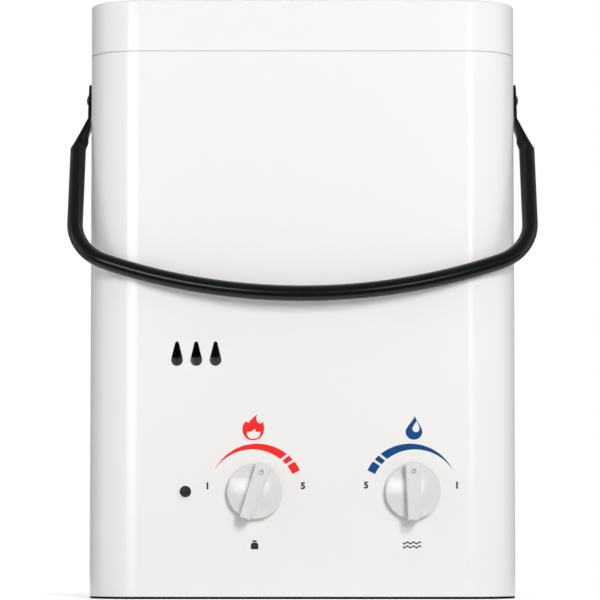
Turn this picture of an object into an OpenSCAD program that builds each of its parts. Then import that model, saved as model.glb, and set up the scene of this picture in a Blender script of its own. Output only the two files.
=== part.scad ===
// Portable gas water heater: a steel casing with a swinging bail, two control knobs, a burner,
// a finned heat exchanger and the valves that feed them.
// X runs to the right seen from the front, Y to the rear and Z up. The origin lies on the
// ground, in the middle of the casing's plan. All sizes are in millimetres.

/* [Casing] */
// Width of the casing
body_w = 298; // [290:1:320]
// Depth of the casing, from the front face to the rear flanges
body_d = 127; // [125:1:145]
// Height of the roof above the ground
body_h = 416.5; // [412:0.5:440]
// Thickness of the white steel sheet
sheet_t = 0.8; // [0.6:0.1:1.2]
// Radius of the two front corners
corner_r = 35; // [28:1:40]
// Radius of the two rear corners
rear_r = 5; // [3:0.5:8]
// Height of the top cap
cap_h = 35.5; // [30:0.5:40]
// Open seam between the cap and the cover
seam = 0.6; // [0.3:0.1:1]
// Width of the flanges that turn in behind the casing
flange_w = 14; // [12:1:18]
// Depth of the lip under the cap
lip_h = 9; // [6:0.5:12]
// Gap between the lip and the cover
lip_gap = 0.2; // [0.1:0.1:0.4]

/* [Roof opening] */
// Width of the exhaust opening
exhaust_w = 150; // [120:2:170]
// Depth of the exhaust opening
exhaust_d = 56; // [40:1:64]
// Margin of the grille round the opening
grille_margin = 8; // [5:1:12]
// Thickness of the grille
grille_t = 1; // [0.8:0.1:1.5]
// Width of each grille slot
grille_slot = 5; // [3:0.5:6]
// Pitch of the grille slots
grille_pitch = 9; // [8:0.5:12]

/* [Back] */
// Thickness of the back plate
plate_t = 0.8; // [0.6:0.1:1.2]
// Gap between the back plate and the sides
plate_gap = 5; // [4.5:0.5:6]
// Gap between the back plate and the roof
plate_top_gap = 3.3; // [2:0.1:5]
// Depth of the foot that the back plate stands on
plate_foot = 11; // [8:1:14]
// Width of each louvre
louvre_w = 42; // [30:1:46]
// Height of each louvre slot
louvre_h = 5; // [3:0.5:6]
// Pitch of the louvre rows
louvre_row = 12; // [10:0.5:14]
// Pitch of the louvre columns
louvre_column = 50; // [48:1:56]
// Height of the lowest row of louvres
louvre_z = 108; // [104:1:116]
// Width of the raised part of the hanging bracket
bracket_w = 90; // [70:1:110]
// Height of the hanging bracket
bracket_h = 33; // [28:1:40]
// Distance from the roof down to the bracket's top edge
bracket_drop = 48.5; // [44:0.5:60]
// Stand-off of the hanging bracket
bracket_out = 5; // [4:0.5:8]
// Thickness of the hanging bracket
bracket_t = 2; // [1.5:0.1:2.5]
// Width of each ear of the bracket
bracket_ear = 15; // [12:1:20]
// Radius of the keyhole's entry
keyhole_r = 5; // [4:0.5:6]
// Width of the keyhole's slot
keyhole_slot = 5; // [4:0.5:6]
// Length of the keyhole's slot above the entry
keyhole_l = 11; // [8:0.5:13]

/* [Base] */
// Thickness of the ledge that the cover stands on
ledge_t = 1.5; // [1:0.1:2]
// Inset of the ledge from the cover
ledge_in = 0.4; // [0.2:0.1:0.5]
// Thickness of the tray's floor
floor_t = 2; // [1.6:0.1:2.5]
// Height of the tray's rim
rim_h = 12; // [8:1:16]
// Thickness of the tray's rim and of the bay's walls
rim_t = 2; // [1.5:0.1:2.5]
// Depth of the connection bay
bay_d = 46; // [42:1:50]
// Height of the connection bay's ceiling
bay_h = 26; // [22:1:28]
// Room beside the outlet nipple
bay_left = 14; // [12:1:15]
// Room beside the inlet nipple
bay_right = 20; // [16:1:24]
// Clearance of the holes in the bay's ceiling
bay_clear = 0.6; // [0.3:0.1:1]

/* [Handle] */
// Radius of the bail's tube
tube_r = 5.32; // [4.8:0.01:5.6]
// Gap between the bail's arms and the casing
arm_gap = 4.9; // [4.5:0.05:6.5]
// Distance from the roof down to the pivots
pivot_drop = 62.8; // [60:0.1:66]
// Length of the straight arms, from the pivot
arm_l = 105; // [100:0.1:112]
// Distance from the pivots to the middle of the crossbar
bail_l = 163.4; // [158:0.1:168]
// Radius of the bail's lower corners
bail_corner_r = 34.7; // [30:0.1:38]
// Gap that is left where the bail leans on the casing
lean_gap = 0.3; // [0.2:0.05:0.6]
// Width of the flattened ends
end_w = 15.5; // [13:0.1:17]
// Thickness of the flattened ends
end_t = 2.2; // [1.8:0.1:2.6]
// Length of a flattened end past its pivot
end_over = 12.4; // [10:0.1:14]
// Length of the flat from the pivot down
end_flat = 16.5; // [13:0.5:19]
// Length of the neck between the flat and the tube
neck_l = 26.5; // [22:0.5:30]
// Radius of the pivot screws
pivot_r = 3; // [2.5:0.1:3.5]
// Radial running clearance of pins and spindles
run_gap = 0.05; // [0.03:0.01:0.08]
// Side clearance of the bail's ends
side_gap = 0.15; // [0.1:0.05:0.3]
// Thickness of the pivot washers
washer_t = 1.2; // [1:0.1:1.5]
// Radius of the pivot washers
washer_r = 6.5; // [5.5:0.1:7]
// Radius of the screw heads
pivot_head_r = 4.4; // [4:0.1:5]
// Height of the screw heads
pivot_head_h = 1.6; // [1.2:0.1:2]
// Thickness of the brackets inside the sides
ear_t = 2; // [1.5:0.1:2.5]
// Depth and height of the brackets inside the sides
ear_w = 30; // [24:1:34]
// Height of the pivot nuts
nut_h = 5; // [4:0.5:6]

/* [Controls] */
// Height of the knobs and the button
control_z = 74; // [70:0.5:78]
// Place of the gas knob across the front
gas_x = -33; // [-36:0.5:-30]
// Place of the water knob across the front
water_x = 76.2; // [74:0.1:79]
// Place of the button across the front
button_x = -80.9; // [-83:0.1:-79]
// Resting turn of the gas knob, clockwise
gas_turn = 19.7; // [0:0.1:45]
// Radius of the knob's disc
knob_r = 19.1; // [17:0.1:20]
// Height of the knob's disc above the panel
disc_h = 9; // [7:0.5:11]
// Rounding of the disc's rim
disc_round = 3; // [1:0.5:4]
// Height of the grip above the panel
knob_h = 20; // [17:0.5:23]
// Length of the grip from end to end
grip_l = 41; // [39:0.5:43]
// Width of the grip at its pointer end
grip_wide = 11.4; // [10:0.1:13]
// Width of the grip at its tail end
grip_narrow = 7.7; // [6.5:0.1:9]
// Radius of the round mark in the grip
mark_r = 1.2; // [0.8:0.1:1.6]
// Distance of the round mark from the knob's axis
mark_l = 14.2; // [12:0.1:16]
// Depth of the round mark
mark_deep = 0.8; // [0.4:0.1:1.2]
// Gap between the knobs and the panel
knob_gap = 0.8; // [0.5:0.1:1.2]
// Radius of the control spindles
spindle_r = 3; // [2.5:0.1:3.5]
// Depth of the spindle's seat in the knob
seat_l = 12; // [10:0.5:14]
// Clearance round the spindles in the panel
panel_gap = 3.5; // [2:0.5:5]
// Radius of the button
button_r = 3.8; // [3.4:0.1:4]
// Travel of the button
button_travel = 1.8; // [1:0.1:2]
// Height of the button above the panel
button_out = 1.2; // [1:0.1:2]
// Radius of the bezel ring
bezel_r = 4.8; // [4.7:0.1:5.6]
// Height of the bezel ring above the panel
bezel_out = 0.8; // [0.5:0.1:1.2]
// Wall of the bezel's barrel
bezel_wall = 0.55; // [0.4:0.05:0.6]

/* [Viewing holes] */
// Place of the middle viewing hole across the front
view_x = -73.65; // [-80:0.05:-66]
// Pitch of the three viewing holes
view_pitch = 13.35; // [12:0.05:15]
// Height of the holes' lower centres
view_z = 165.1; // [160:0.1:170]
// Lower radius of each hole
view_r = 4.07; // [3.5:0.01:4.5]
// Upper radius of each hole
view_tip_r = 1.35; // [1:0.05:1.8]
// Distance between the two centres
view_l = 11.4; // [10:0.1:13]

/* [Heat exchanger] */
// Width of the chamber
chamber_w = 190; // [184:1:194]
// Depth of the chamber
chamber_d = 88; // [86:0.5:90]
// Height of the chamber
chamber_h = 163; // [155:1:170]
// Height of the chamber's lower edge
chamber_z = 182; // [180:0.5:186]
// Thickness of the copper sheet
copper_t = 0.6; // [0.5:0.1:1]
// Distance from the chamber to the back plate
chamber_back = 17.3; // [16:0.1:19]
// Radius of the exchanger tubes
exchanger_r = 7; // [6:0.1:7.5]
// Pitch of the exchanger tubes
exchanger_pitch = 18; // [17:0.1:18.5]
// Distance from the chamber's top to the exchanger tubes
exchanger_drop = 28; // [24:0.5:32]
// Number of fins
fins = 28; // [12:1:34]
// Thickness of a fin
fin_t = 0.5; // [0.3:0.1:0.8]
// Height of a fin
fin_h = 40; // [34:1:44]
// Radius of the water pipes
pipe_r = 5; // [4.5:0.1:5.2]
// Wall of the water pipes
pipe_wall = 0.8; // [0.6:0.1:1]
// Bend radius of the water pipes
pipe_bend = 10; // [8:0.5:10]
// Gap between brazed pieces
braze = 0.1; // [0.05:0.05:0.2]
// Gap between the jacket's pipe and the chamber
coil_gap = 0.3; // [0.2:0.1:0.4]
// Height of the lower jacket turn above the chamber's edge
jacket_low = 33; // [28:1:36]
// Rise from the lower jacket turn to the upper one
jacket_rise = 47; // [40:1:54]
// Distance of the chamber's two straps from the middle
strap_x = 60; // [40:1:70]
// Width of each strap
strap_w = 20; // [14:1:26]
// Length of each strap's feet
strap_l = 9; // [6:0.5:10]
// Thickness of each strap
strap_t = 1.2; // [1:0.1:1.5]

/* [Burner] */
// Width of the burner frame
burner_w = 188; // [180:1:188]
// Depth of the burner frame
burner_d = 86; // [84:0.5:86]
// Height of the burner frame's lower edge
burner_z = 112; // [110:0.5:114]
// Height of the burner frame's front edge
burner_front_z = 168; // [164:0.5:172]
// Thickness of the burner frame
burner_t = 1; // [0.8:0.1:1.4]
// Number of burner bars
bars = 9; // [5:1:9]
// Pitch of the burner bars
bar_pitch = 20; // [18:0.5:20.5]
// Width of a burner bar
bar_w = 7; // [5:0.5:9]
// Length of a burner bar
bar_l = 76; // [70:1:78]
// Height of a burner bar
bar_h = 28; // [24:1:30]
// Height of the rails above the frame's lower edge
rail_z = 20; // [18:0.5:22]
// Height of the manifold bar
manifold_h = 12; // [10:0.5:13]
// Depth of the manifold bar
manifold_d = 10; // [8:0.5:11]
// Gap between the manifold and the burner frame
manifold_gap = 2; // [1.5:0.1:3]
// Radius of the injectors
injector_r = 3; // [2:0.1:3.5]
// Radius of the electrodes' ceramic
electrode_r = 3; // [2.5:0.1:3.5]
// Thickness of the plate that holds the electrodes
electrode_t = 1.2; // [1:0.1:1.5]
// Margin of that plate round the electrodes
electrode_margin = 7; // [5:0.5:8]
// Depth of that plate below the burner's front edge
electrode_drop = 14; // [10:1:18]

/* [Gas] */
// Width of the gas valve
gas_w = 57; // [50:1:60]
// Depth of the gas valve
gas_d = 42; // [38:1:44]
// Height of the gas valve
gas_h = 46; // [42:1:48]
// Gap between the cover and the gas valve's front face
gas_front = 8.3; // [7:0.1:10]
// Radius of the gas inlet's thread
gas_r = 7.94; // [7:0.01:8.5]
// Radius of the gas inlet's bore
gas_bore = 3.2; // [2.5:0.1:4]
// Radius of the solenoid
solenoid_r = 12; // [10:0.5:13]
// Length of the solenoid
solenoid_l = 26; // [22:1:30]
// Distance from the front face to the nipples' axes
nipple_back = 34.5; // [33:0.5:36]
// Height of the nipples' lower ends
nipple_z = 4; // [3:0.5:6]

/* [Water] */
// Place of the outlet nipple across the base
outlet_x = -80; // [-82:0.5:-78]
// Place of the inlet nipple across the base
inlet_x = 77; // [75:0.5:79]
// Radius of the inlet's thread
inlet_r = 13.3; // [12:0.1:13.5]
// Radius of the outlet's thread
outlet_r = 10.48; // [9.5:0.01:11]
// Wall of the nipples
nipple_wall = 4; // [3:0.1:4.5]
// Wall of the nipples' necks above the hexagon
neck_wall = 1.4; // [1:0.1:1.5]
// Width of the water valve
valve_w = 40; // [38:1:42]
// Depth of the water valve
valve_d = 34; // [32:1:36]
// Height of the water valve
valve_h = 46; // [42:1:48]
// Height of both valves' undersides
valve_z = 51; // [50:0.5:54]
// Radius of the diaphragm housing
housing_r = 27; // [25:0.5:28]
// Thickness of the housing's flange on the valve
housing_t = 8; // [7:0.5:9]
// Thickness of the housing's cover
housing_cover = 13; // [10:0.5:15]
// Thickness of the diaphragm
diaphragm_t = 1; // [0.8:0.1:1.5]
// Radius of the push rod
rod_r = 2; // [1.5:0.1:2.5]
// Travel of the push rod
rod_travel = 3; // [2:0.5:3.5]
// Radius of the relief valve
relief_r = 4.5; // [3.5:0.1:4.6]

/* [Electrics] */
// Diameter of a battery cell
cell_d = 34.2; // [33:0.1:35]
// Length of a battery cell
cell_l = 61.5; // [60:0.1:62]
// Room round the cells
cell_gap = 0.9; // [0.5:0.1:1.2]
// Wall of the battery box
box_wall = 1.6; // [1.2:0.1:2]
// Gap between the battery box and the side
box_gap = 4; // [3.5:0.5:6]
// Thickness of the battery door
door_t = 1.6; // [1.2:0.1:1.8]
// Height of the door's underside
door_z = 0.3; // [0.2:0.1:0.35]
// Clearance round the door
door_gap = 0.5; // [0.4:0.1:0.8]
// Radius of the door's barrel
barrel_r = 1.8; // [1.5:0.1:2]
// Radius of the door's pins
door_pin_r = 1; // [0.8:0.1:1.2]
// Width of the ignition module
module_w = 60; // [50:1:66]
// Depth of the ignition module
module_d = 22; // [18:1:26]
// Height of the ignition module
module_h = 65; // [55:1:68]
// Radius of the ignition lead
lead_r = 1.5; // [1.2:0.1:1.8]
// Radius of the wiring loom
loom_r = 2; // [1.5:0.1:2.2]

/* [Hidden] */
$fn = 64;

// Planes of the casing
front_y = -body_d / 2;
rear_y = body_d / 2;
seam_z = body_h - cap_h;
cover_top = seam_z - seam;
side_x = body_w / 2;
side_in = side_x - sheet_t;
front_in = front_y + sheet_t;
plate_back = rear_y - sheet_t;
plate_front = plate_back - plate_t;
roof_in = body_h - sheet_t;
past = 1;

// Screws that hold the sheet metal
screw_r = 1.75;
screw_head_r = 3.2;
screw_head_h = 1.8;
screw_l = 6;
screw_gap = 0.2;
cover_screw_x = side_x - flange_w / 2 - 1.5;
cover_screw_z = [30, 190, seam_z - 31];
cap_screw_x = [-110, 0, 110];
cap_screw_z = seam_z + 12;
rivet_r = 2;
rivet_x = bracket_w / 2 + bracket_t + bracket_ear / 2;
rivet_z = [body_h - bracket_drop - bracket_h + 7, body_h - bracket_drop - 7];

// Bail: arms, corners and a bowed crossbar, each tangent to the next
pivot_z = body_h - pivot_drop;
arm_x = side_x + arm_gap + tube_r;
bend_x = arm_x - bail_corner_r;
bow = bail_l - arm_l;
bar_r = (bend_x ^ 2 + bow ^ 2 - bail_corner_r ^ 2) / (2 * (bow - bail_corner_r));
bar_s = bail_l - bar_r;
bar_angle = atan2(bend_x, arm_l - bar_s);
flat_x = side_x + washer_t + side_gap;
flat_front = side_x - corner_r;
lean_r = corner_r + tube_r + lean_gap;
function crossbar_s(x) = bar_s + sqrt(bar_r ^ 2 - x ^ 2);
function lean_y(x) = body_d / 2 - corner_r + sqrt(lean_r ^ 2 - max(x - flat_front, 0) ^ 2);
rest_angle = asin(max([for (x = [0 : 1 : bar_r * sin(bar_angle)]) lean_y(x) / crossbar_s(x)]));

// Button and its bezel's barrel
barrel_out = button_r + run_gap + bezel_wall;
barrel_l = 8;
button_l = 12;

// Heat exchanger
chamber_y = plate_front - chamber_back - chamber_d / 2;
chamber_top = chamber_z + chamber_h;
exchanger_z = chamber_top - exchanger_drop;
passes = 5;
turn_x = chamber_w / 2 + 2 + exchanger_pitch / 2;
stub_x = chamber_w / 2 + 7;
coil_x = chamber_w / 2 + coil_gap + pipe_r;
coil_y = chamber_d / 2 + coil_gap + pipe_r;
chamber_corner = pipe_bend - pipe_r - coil_gap;
coil_in_y = chamber_y + 8;
riser_x = stub_x + pipe_bend;
jacket_z = chamber_z + jacket_low;
jacket_top = jacket_z + jacket_rise;
join_z = burner_z - 12;
grille_z = roof_in - grille_t;

// Burner
burner_y = chamber_y;
burner_front = burner_y - burner_d / 2;
manifold_y = burner_front - manifold_gap - manifold_d / 2;
manifold_z = burner_z + 6;
injector_z = manifold_z + manifold_h / 2;
bar_x0 = -bar_pitch * (bars - 1) / 2;
rail = burner_z + rail_z;
electrode_z = burner_front_z + 4;
electrode_x = [-20, 15];

// Valves and nipples
nipple_y = front_y + nipple_back;
ceiling_z = bay_h + rim_t;
outlet_top = ceiling_z + 14;
thread_top = bay_h - 0.5;
gas_front_y = front_in + gas_front;
gas_x0 = gas_x - gas_w / 2;
valve_x1 = inlet_x + inlet_r - nipple_wall + neck_wall + 2.3;
valve_x0 = valve_x1 - valve_w;
valve_y0 = nipple_y - valve_d / 2;
rod_z = control_z - 1;
flange_x = valve_x1 + housing_t - 2;
chamber_cut_r = housing_r - 5;
chamber_cut = rod_travel + 2;
gland = 5;
relief_x = valve_x0 + relief_r + 0.5;
cold_x = valve_x0 + valve_w / 2;
cold_z = valve_z + 11;

// Battery box and door
box_in = cell_d + 2 * cell_gap;
box_w = box_in + 2 * box_wall;
box_x = -side_in + box_gap + box_w / 2;
cell_z = 4;
box_top = cell_z + 2 * cell_l + 3;
hinge_x = box_x + box_w / 2 + barrel_r + 0.4;
hinge_z = 3;
lug_w = 3;

// Ignition module, lead and loom
module_x = 50;
module_z = 30;
lead_out_x = module_x + 20;
lead_out_z = module_z + module_h - 10;
lead_bend = 3;
lead_x = electrode_x[1];
lead_z = burner_z - 8;
lead_front = manifold_y - manifold_d / 2 - 2.2 - lead_r;

// ---- Shared shapes ----

// Plan with front corners of radius rf and rear corners of radius rr
module rounded_plan(w, d, rf, rr) {
  for (side = [-1, 1]) {
    translate([side * (w / 2 - rf), rf - d / 2]) circle(rf);
    translate([side * (w / 2 - rr), d / 2 - rr]) circle(rr);
  }
  polygon([
    [w / 2 - rf, -d / 2], [w / 2, rf - d / 2], [w / 2, d / 2 - rr], [w / 2 - rr, d / 2],
    [rr - w / 2, d / 2], [-w / 2, d / 2 - rr], [-w / 2, rf - d / 2], [rf - w / 2, -d / 2]
  ]);
}

// The casing's plan, drawn in by inset
module casing_plan(inset = 0) {
  w = body_w - 2 * inset;
  d = body_d - 2 * inset;
  rounded_plan(w, d, max(corner_r - inset, 0.5), max(rear_r - inset, 0.5));
}

// A ring of the casing's plan between two insets, from z0 to z1
module casing_ring(outer, inner, z0, z1) {
  translate([0, 0, z0]) linear_extrude(z1 - z0) difference() {
    casing_plan(outer);
    casing_plan(inner);
  }
}

// A box from one corner to the other
module span(a, b) {
  translate(a) cube(b - a);
}

// A cylinder along X, Y or Z that starts at p
module rod_x(p, l, r) {
  translate(p) rotate([0, 90, 0]) cylinder(h = l, r = r);
}

module rod_y(p, l, r) {
  translate(p) rotate([-90, 0, 0]) cylinder(h = l, r = r);
}

module rod_z(p, l, r) {
  translate(p) cylinder(h = l, r = r);
}

// A drop in outline: two circles and the lines that touch both
module drop(r_low, r_tip, l) {
  lean = acos((r_low - r_tip) / l);
  low = r_low * [sin(lean), cos(lean)];
  tip = r_tip * [sin(lean), cos(lean)] + [0, l];
  circle(r_low);
  translate([0, l]) circle(r_tip);
  polygon([low, tip, [-tip.x, tip.y], [-low.x, low.y], [0, 0]]);
}

function unit(v) = v / norm(v);
function side_of(v) = abs(v.z) > 0.9 ? [1, 0, 0] : unit(cross([0, 0, 1], v));
function frame_of(x, y, z, p) = [
  [x.x, y.x, z.x, p.x], [x.y, y.y, z.y, p.y], [x.z, y.z, z.z, p.z], [0, 0, 0, 1]
];
// How much of a straight run a bend takes up at corner i
function bend_cut(points, i, bend) =
  i == 0 || i == len(points) - 1 ? 0
  : bend * tan(acos(unit(points[i] - points[i - 1]) * unit(points[i + 1] - points[i])) / 2);

// A pipe along a route of straight runs joined by round bends
module pipe(points, r, wall, bend) {
  for (i = [0 : len(points) - 2]) {
    way = unit(points[i + 1] - points[i]);
    start = bend_cut(points, i, bend);
    l = norm(points[i + 1] - points[i]) - start - bend_cut(points, i + 1, bend);
    across = side_of(way);
    place = frame_of(across, cross(way, across), way, points[i] + start * way);
    if (l > 0.01) multmatrix(place) linear_extrude(l) pipe_section(r, wall);
  }
  for (i = [1 : len(points) - 2]) {
    way = unit(points[i] - points[i - 1]);
    next = unit(points[i + 1] - points[i]);
    turn = acos(way * next);
    inward = unit(next - (way * next) * way);
    centre = points[i] - bend_cut(points, i, bend) * way + bend * inward;
    place = frame_of(-inward, way, cross(-inward, way), centre);
    multmatrix(place) rotate_extrude(angle = turn) translate([bend, 0]) pipe_section(r, wall);
  }
}

module pipe_section(r, wall) {
  difference() {
    circle(r);
    if (wall > 0) circle(r - wall);
  }
}

// A hexagonal nut along Z with a bore
module hex_nut(r, h, bore) {
  difference() {
    cylinder(h = h, r = r, $fn = 6);
    translate([0, 0, -past]) cylinder(h = h + 2 * past, r = bore);
  }
}

// A round-headed screw along +Y whose head lies at y = 0 and outwards
module back_screw(l) {
  rod_y([0, -l, 0], l, screw_r);
  rod_y([0, 0, 0], screw_head_h, screw_head_r);
}

// ---- Casing ----

module front_cover() {
  color("white") difference() {
    casing_ring(0, sheet_t, ledge_t, cover_top);
    span(
      [flange_w - side_x, plate_back - rear_r, ledge_t - past],
      [side_x - flange_w, rear_y + past, cover_top + past]
    );
    for (i = [-1, 0, 1])
      translate([view_x + i * view_pitch, front_in + past, view_z])
        rotate([90, 0, 0]) linear_extrude(sheet_t + 2 * past) drop(view_r, view_tip_r, view_l);
    for (x = [gas_x, water_x])
      rod_y([x, front_y - past, control_z], sheet_t + 2 * past, spindle_r + panel_gap);
    rod_y([button_x, front_y - past, control_z], sheet_t + 2 * past, barrel_out + 0.1);
    rod_x([-side_x - past, 0, pivot_z], body_w + 2 * past, pivot_r + screw_gap);
    for (side = [-1, 1], z = cover_screw_z)
      rod_y([side * cover_screw_x, plate_back - past, z], sheet_t + 2 * past, screw_r + screw_gap);
  }
}

module top_cap() {
  lip_out = sheet_t + lip_gap;
  color("white") difference() {
    union() {
      difference() {
        translate([0, 0, seam_z]) linear_extrude(cap_h) casing_plan();
        translate([0, 0, seam_z - past]) linear_extrude(cap_h - sheet_t + past)
          casing_plan(sheet_t);
      }
      difference() {
        union() {
          casing_ring(lip_out, lip_out + sheet_t, seam_z - lip_h, seam_z + 6);
          casing_ring(sheet_t / 2, lip_out + sheet_t, seam_z + 2, seam_z + 6);
        }
        span([-side_x, rear_y - 12, seam_z - lip_h - past], [side_x, rear_y, seam_z + 7]);
      }
    }
    span([-exhaust_w / 2, -exhaust_d / 2, roof_in - past],
         [exhaust_w / 2, exhaust_d / 2, body_h + past]);
    for (x = cap_screw_x)
      rod_y([x, plate_back - past, cap_screw_z], sheet_t + 2 * past, screw_r + screw_gap);
  }
}

module exhaust_grille() {
  w = exhaust_w + 2 * grille_margin;
  d = exhaust_d + 2 * grille_margin;
  count = floor((exhaust_w - grille_slot) / grille_pitch);
  color("dimgray") translate([0, 0, grille_z]) linear_extrude(grille_t) difference() {
    square([w, d], center = true);
    for (i = [0 : count])
      translate([(i - count / 2) * grille_pitch, 0])
        square([grille_slot, exhaust_d], center = true);
  }
}

module back_plate() {
  half = side_in - plate_gap;
  columns = [-1.5, -0.5, 0.5, 1.5];
  rows = [0 : 4];
  color("silver") difference() {
    union() {
      span([-half, plate_front, ledge_t], [half, plate_back, roof_in - plate_top_gap]);
      span([-half, plate_front - plate_foot, floor_t], [half, plate_front, floor_t + plate_t]);
      for (c = columns, r = rows)
        translate([c * louvre_column, plate_back, louvre_z + r * louvre_row]) louvre_hood();
    }
    for (c = columns, r = rows)
      translate([c * louvre_column, plate_front + plate_t / 2, louvre_z + r * louvre_row])
        cube([louvre_w - 2, 4 * plate_t, louvre_h], center = true);
    for (side = [-1, 1], z = cover_screw_z)
      rod_y([side * cover_screw_x, plate_front - past, z], plate_t + 2 * past, screw_r + run_gap);
    for (x = cap_screw_x)
      rod_y([x, plate_front - past, cap_screw_z], plate_t + 2 * past, screw_r + run_gap);
    for (side = [-1, 1], z = rivet_z)
      rod_y([side * rivet_x, plate_front - past, z], plate_t + 2 * past, rivet_r + run_gap);
  }
}

// The sloping hood over one louvre slot, on the rear face of the plate
module louvre_hood() {
  top = louvre_h / 2 + 1.6;
  out = 3.4;
  translate([-louvre_w / 2, 0, 0]) rotate([90, 0, 90]) linear_extrude(louvre_w)
    polygon([[0, top], [0, top - 1.4], [out - 1, -louvre_h / 2], [out, -louvre_h / 2], [out, 0]]);
}

module base_tray() {
  bay_x0 = outlet_x - bay_left;
  bay_x1 = inlet_x + bay_right;
  bay_y0 = nipple_y - bay_d / 2;
  bay_y1 = nipple_y + bay_d / 2;
  rim_in = sheet_t + lip_gap;
  color("black") difference() {
    union() {
      linear_extrude(ledge_t) casing_plan(ledge_in);
      linear_extrude(floor_t) casing_plan(rim_in + rim_t / 2);
      difference() {
        casing_ring(rim_in, rim_in + rim_t, 0, rim_h);
        span([-side_x, rear_y - 18, ledge_t], [side_x, rear_y, rim_h + past]);
      }
      span([bay_x0 - rim_t, bay_y0 - rim_t, 0], [bay_x1 + rim_t, bay_y1 + rim_t, ceiling_z]);
      for (side = [-1, 1])
        translate([hinge_x, side * (box_in / 2 + lug_w / 2), 0]) door_lug();
    }
    span([bay_x0, bay_y0, -past], [bay_x1, bay_y1, bay_h]);
    span([box_x - box_in / 2, -box_in / 2, -past],
         [hinge_x + barrel_r + 2.2, box_in / 2, floor_t + past]);
    rod_y([hinge_x, -box_w, hinge_z], 2 * box_w, door_pin_r + run_gap);
    rod_z([outlet_x, nipple_y, bay_h - past], rim_t + 2 * past, outlet_r + bay_clear);
    rod_z([gas_x, nipple_y, bay_h - past], rim_t + 2 * past, gas_r + bay_clear);
    rod_z([inlet_x, nipple_y, bay_h - past], rim_t + 2 * past, inlet_r + bay_clear);
    rod_z([relief_x, nipple_y, bay_h - past], rim_t + 2 * past, relief_r + bay_clear);
    for (i = [-4 : 4], y = [12, 34])
      translate([i * 18, y, -past]) linear_extrude(floor_t + 2 * past)
        square([10, 14], center = true);
  }
}

// A lug on the tray's floor that carries one of the door's pins
module door_lug() {
  translate([-2, -lug_w / 2, 0]) cube([4.4, lug_w, hinge_z + 2.2]);
}

module hanging_bracket() {
  z0 = body_h - bracket_drop - bracket_h;
  half = bracket_w / 2 + bracket_t;
  mid_z = z0 + bracket_h / 2;
  top_y = plate_back + bracket_out + bracket_t;
  keyhole_z = mid_z - keyhole_l / 2;
  color("silver") difference() {
    translate([0, plate_back, z0]) linear_extrude(bracket_h) difference() {
      union() {
        translate([-half, 0]) square([2 * half, bracket_out + bracket_t]);
        translate([-half - bracket_ear, 0]) square([2 * (half + bracket_ear), bracket_t]);
      }
      translate([-bracket_w / 2, -past]) square([bracket_w, bracket_out + past]);
    }
    rod_y([0, plate_back + bracket_out - past, keyhole_z], bracket_t + 2 * past, keyhole_r);
    span([-keyhole_slot / 2, plate_back + bracket_out - past, keyhole_z],
         [keyhole_slot / 2, top_y + past, keyhole_z + keyhole_l]);
    rod_y([0, plate_back + bracket_out - past, keyhole_z + keyhole_l],
          bracket_t + 2 * past, keyhole_slot / 2);
    for (side = [-1, 1], z = rivet_z)
      rod_y([side * rivet_x, plate_back - past, z], bracket_t + 2 * past, rivet_r + run_gap);
  }
}

module bracket_rivets() {
  back = plate_t + bracket_t;
  color("silver") for (side = [-1, 1], z = rivet_z) {
    rod_y([side * rivet_x, plate_front, z], back, rivet_r);
    rod_y([side * rivet_x, plate_back + bracket_t, z], 1.2, 1.8 * rivet_r);
    rod_y([side * rivet_x, plate_front - 1, z], 1, 1.6 * rivet_r);
  }
}

module cover_screws() {
  color("silver") for (side = [-1, 1], z = cover_screw_z)
    translate([side * cover_screw_x, rear_y, z]) back_screw(screw_l);
}

module cap_screws() {
  color("silver") for (x = cap_screw_x)
    translate([x, rear_y, cap_screw_z]) back_screw(screw_l);
}

// ---- Handle ----

// The bail is one tube swept along stations of [x, z, angle of the outward side, roundness].
// Roundness runs from 0 in the flattened ends to 1 in the tube.
sides = 24;
neck_steps = 10;
corner_steps = 12;
bar_steps = 22;
corner_turn = 90 - bar_angle;
function neck_station(u, side) = [
  side * arm_x, 0.5 - end_flat - u * (neck_l + 0.5), side > 0 ? 0 : -180, u
];
function arc_station(x, s, r, a) = [x + r * cos(a), r * sin(a) - s, a, 1];
stations = [
  for (i = [0 : neck_steps]) neck_station(i / neck_steps, 1),
  for (i = [0 : corner_steps])
    arc_station(bend_x, arm_l, bail_corner_r, -corner_turn * i / corner_steps),
  for (i = [1 : bar_steps - 1])
    arc_station(0, bar_s, bar_r, -corner_turn - 2 * bar_angle * i / bar_steps),
  for (i = [corner_steps : -1 : 0])
    arc_station(-bend_x, arm_l, bail_corner_r, corner_turn * i / corner_steps - 180),
  for (i = [neck_steps : -1 : 0]) neck_station(i / neck_steps, -1)
];
flat_offset = flat_x + end_t / 2 - arm_x;
flat_half = end_t / 2 - 0.02;
wide_half = end_w / 2 - 0.02;
function bail_ring(st) = [for (i = [0 : sides - 1]) let(
  c = cos(360 * (i + 0.5) / sides),
  d = sin(360 * (i + 0.5) / sides),
  box = 1 / max(abs(c), abs(d)),
  out = (1 - st[3]) * (flat_offset + flat_half * c * box) + st[3] * tube_r * c,
  y = (1 - st[3]) * wide_half * d * box + st[3] * tube_r * d
) [st[0] + out * cos(st[2]), y, st[1] + out * sin(st[2])]];

module bail_tube() {
  n = len(stations);
  middles = [for (st = [stations[0], stations[n - 1]])
    [st[0] + flat_offset * cos(st[2]), 0, st[1]]];
  points = concat([for (st = stations) each bail_ring(st)], middles);
  walls = [for (j = [0 : n - 2], i = [0 : sides - 1]) let(
    a = j * sides + i,
    b = j * sides + (i + 1) % sides
  ) each [[a, b, b + sides], [a, b + sides, a + sides]]];
  first = [for (i = [0 : sides - 1]) [n * sides, (i + 1) % sides, i]];
  last = [for (i = [0 : sides - 1])
    [n * sides + 1, (n - 1) * sides + i, (n - 1) * sides + (i + 1) % sides]];
  polyhedron(points, concat(walls, first, last));
}

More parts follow.
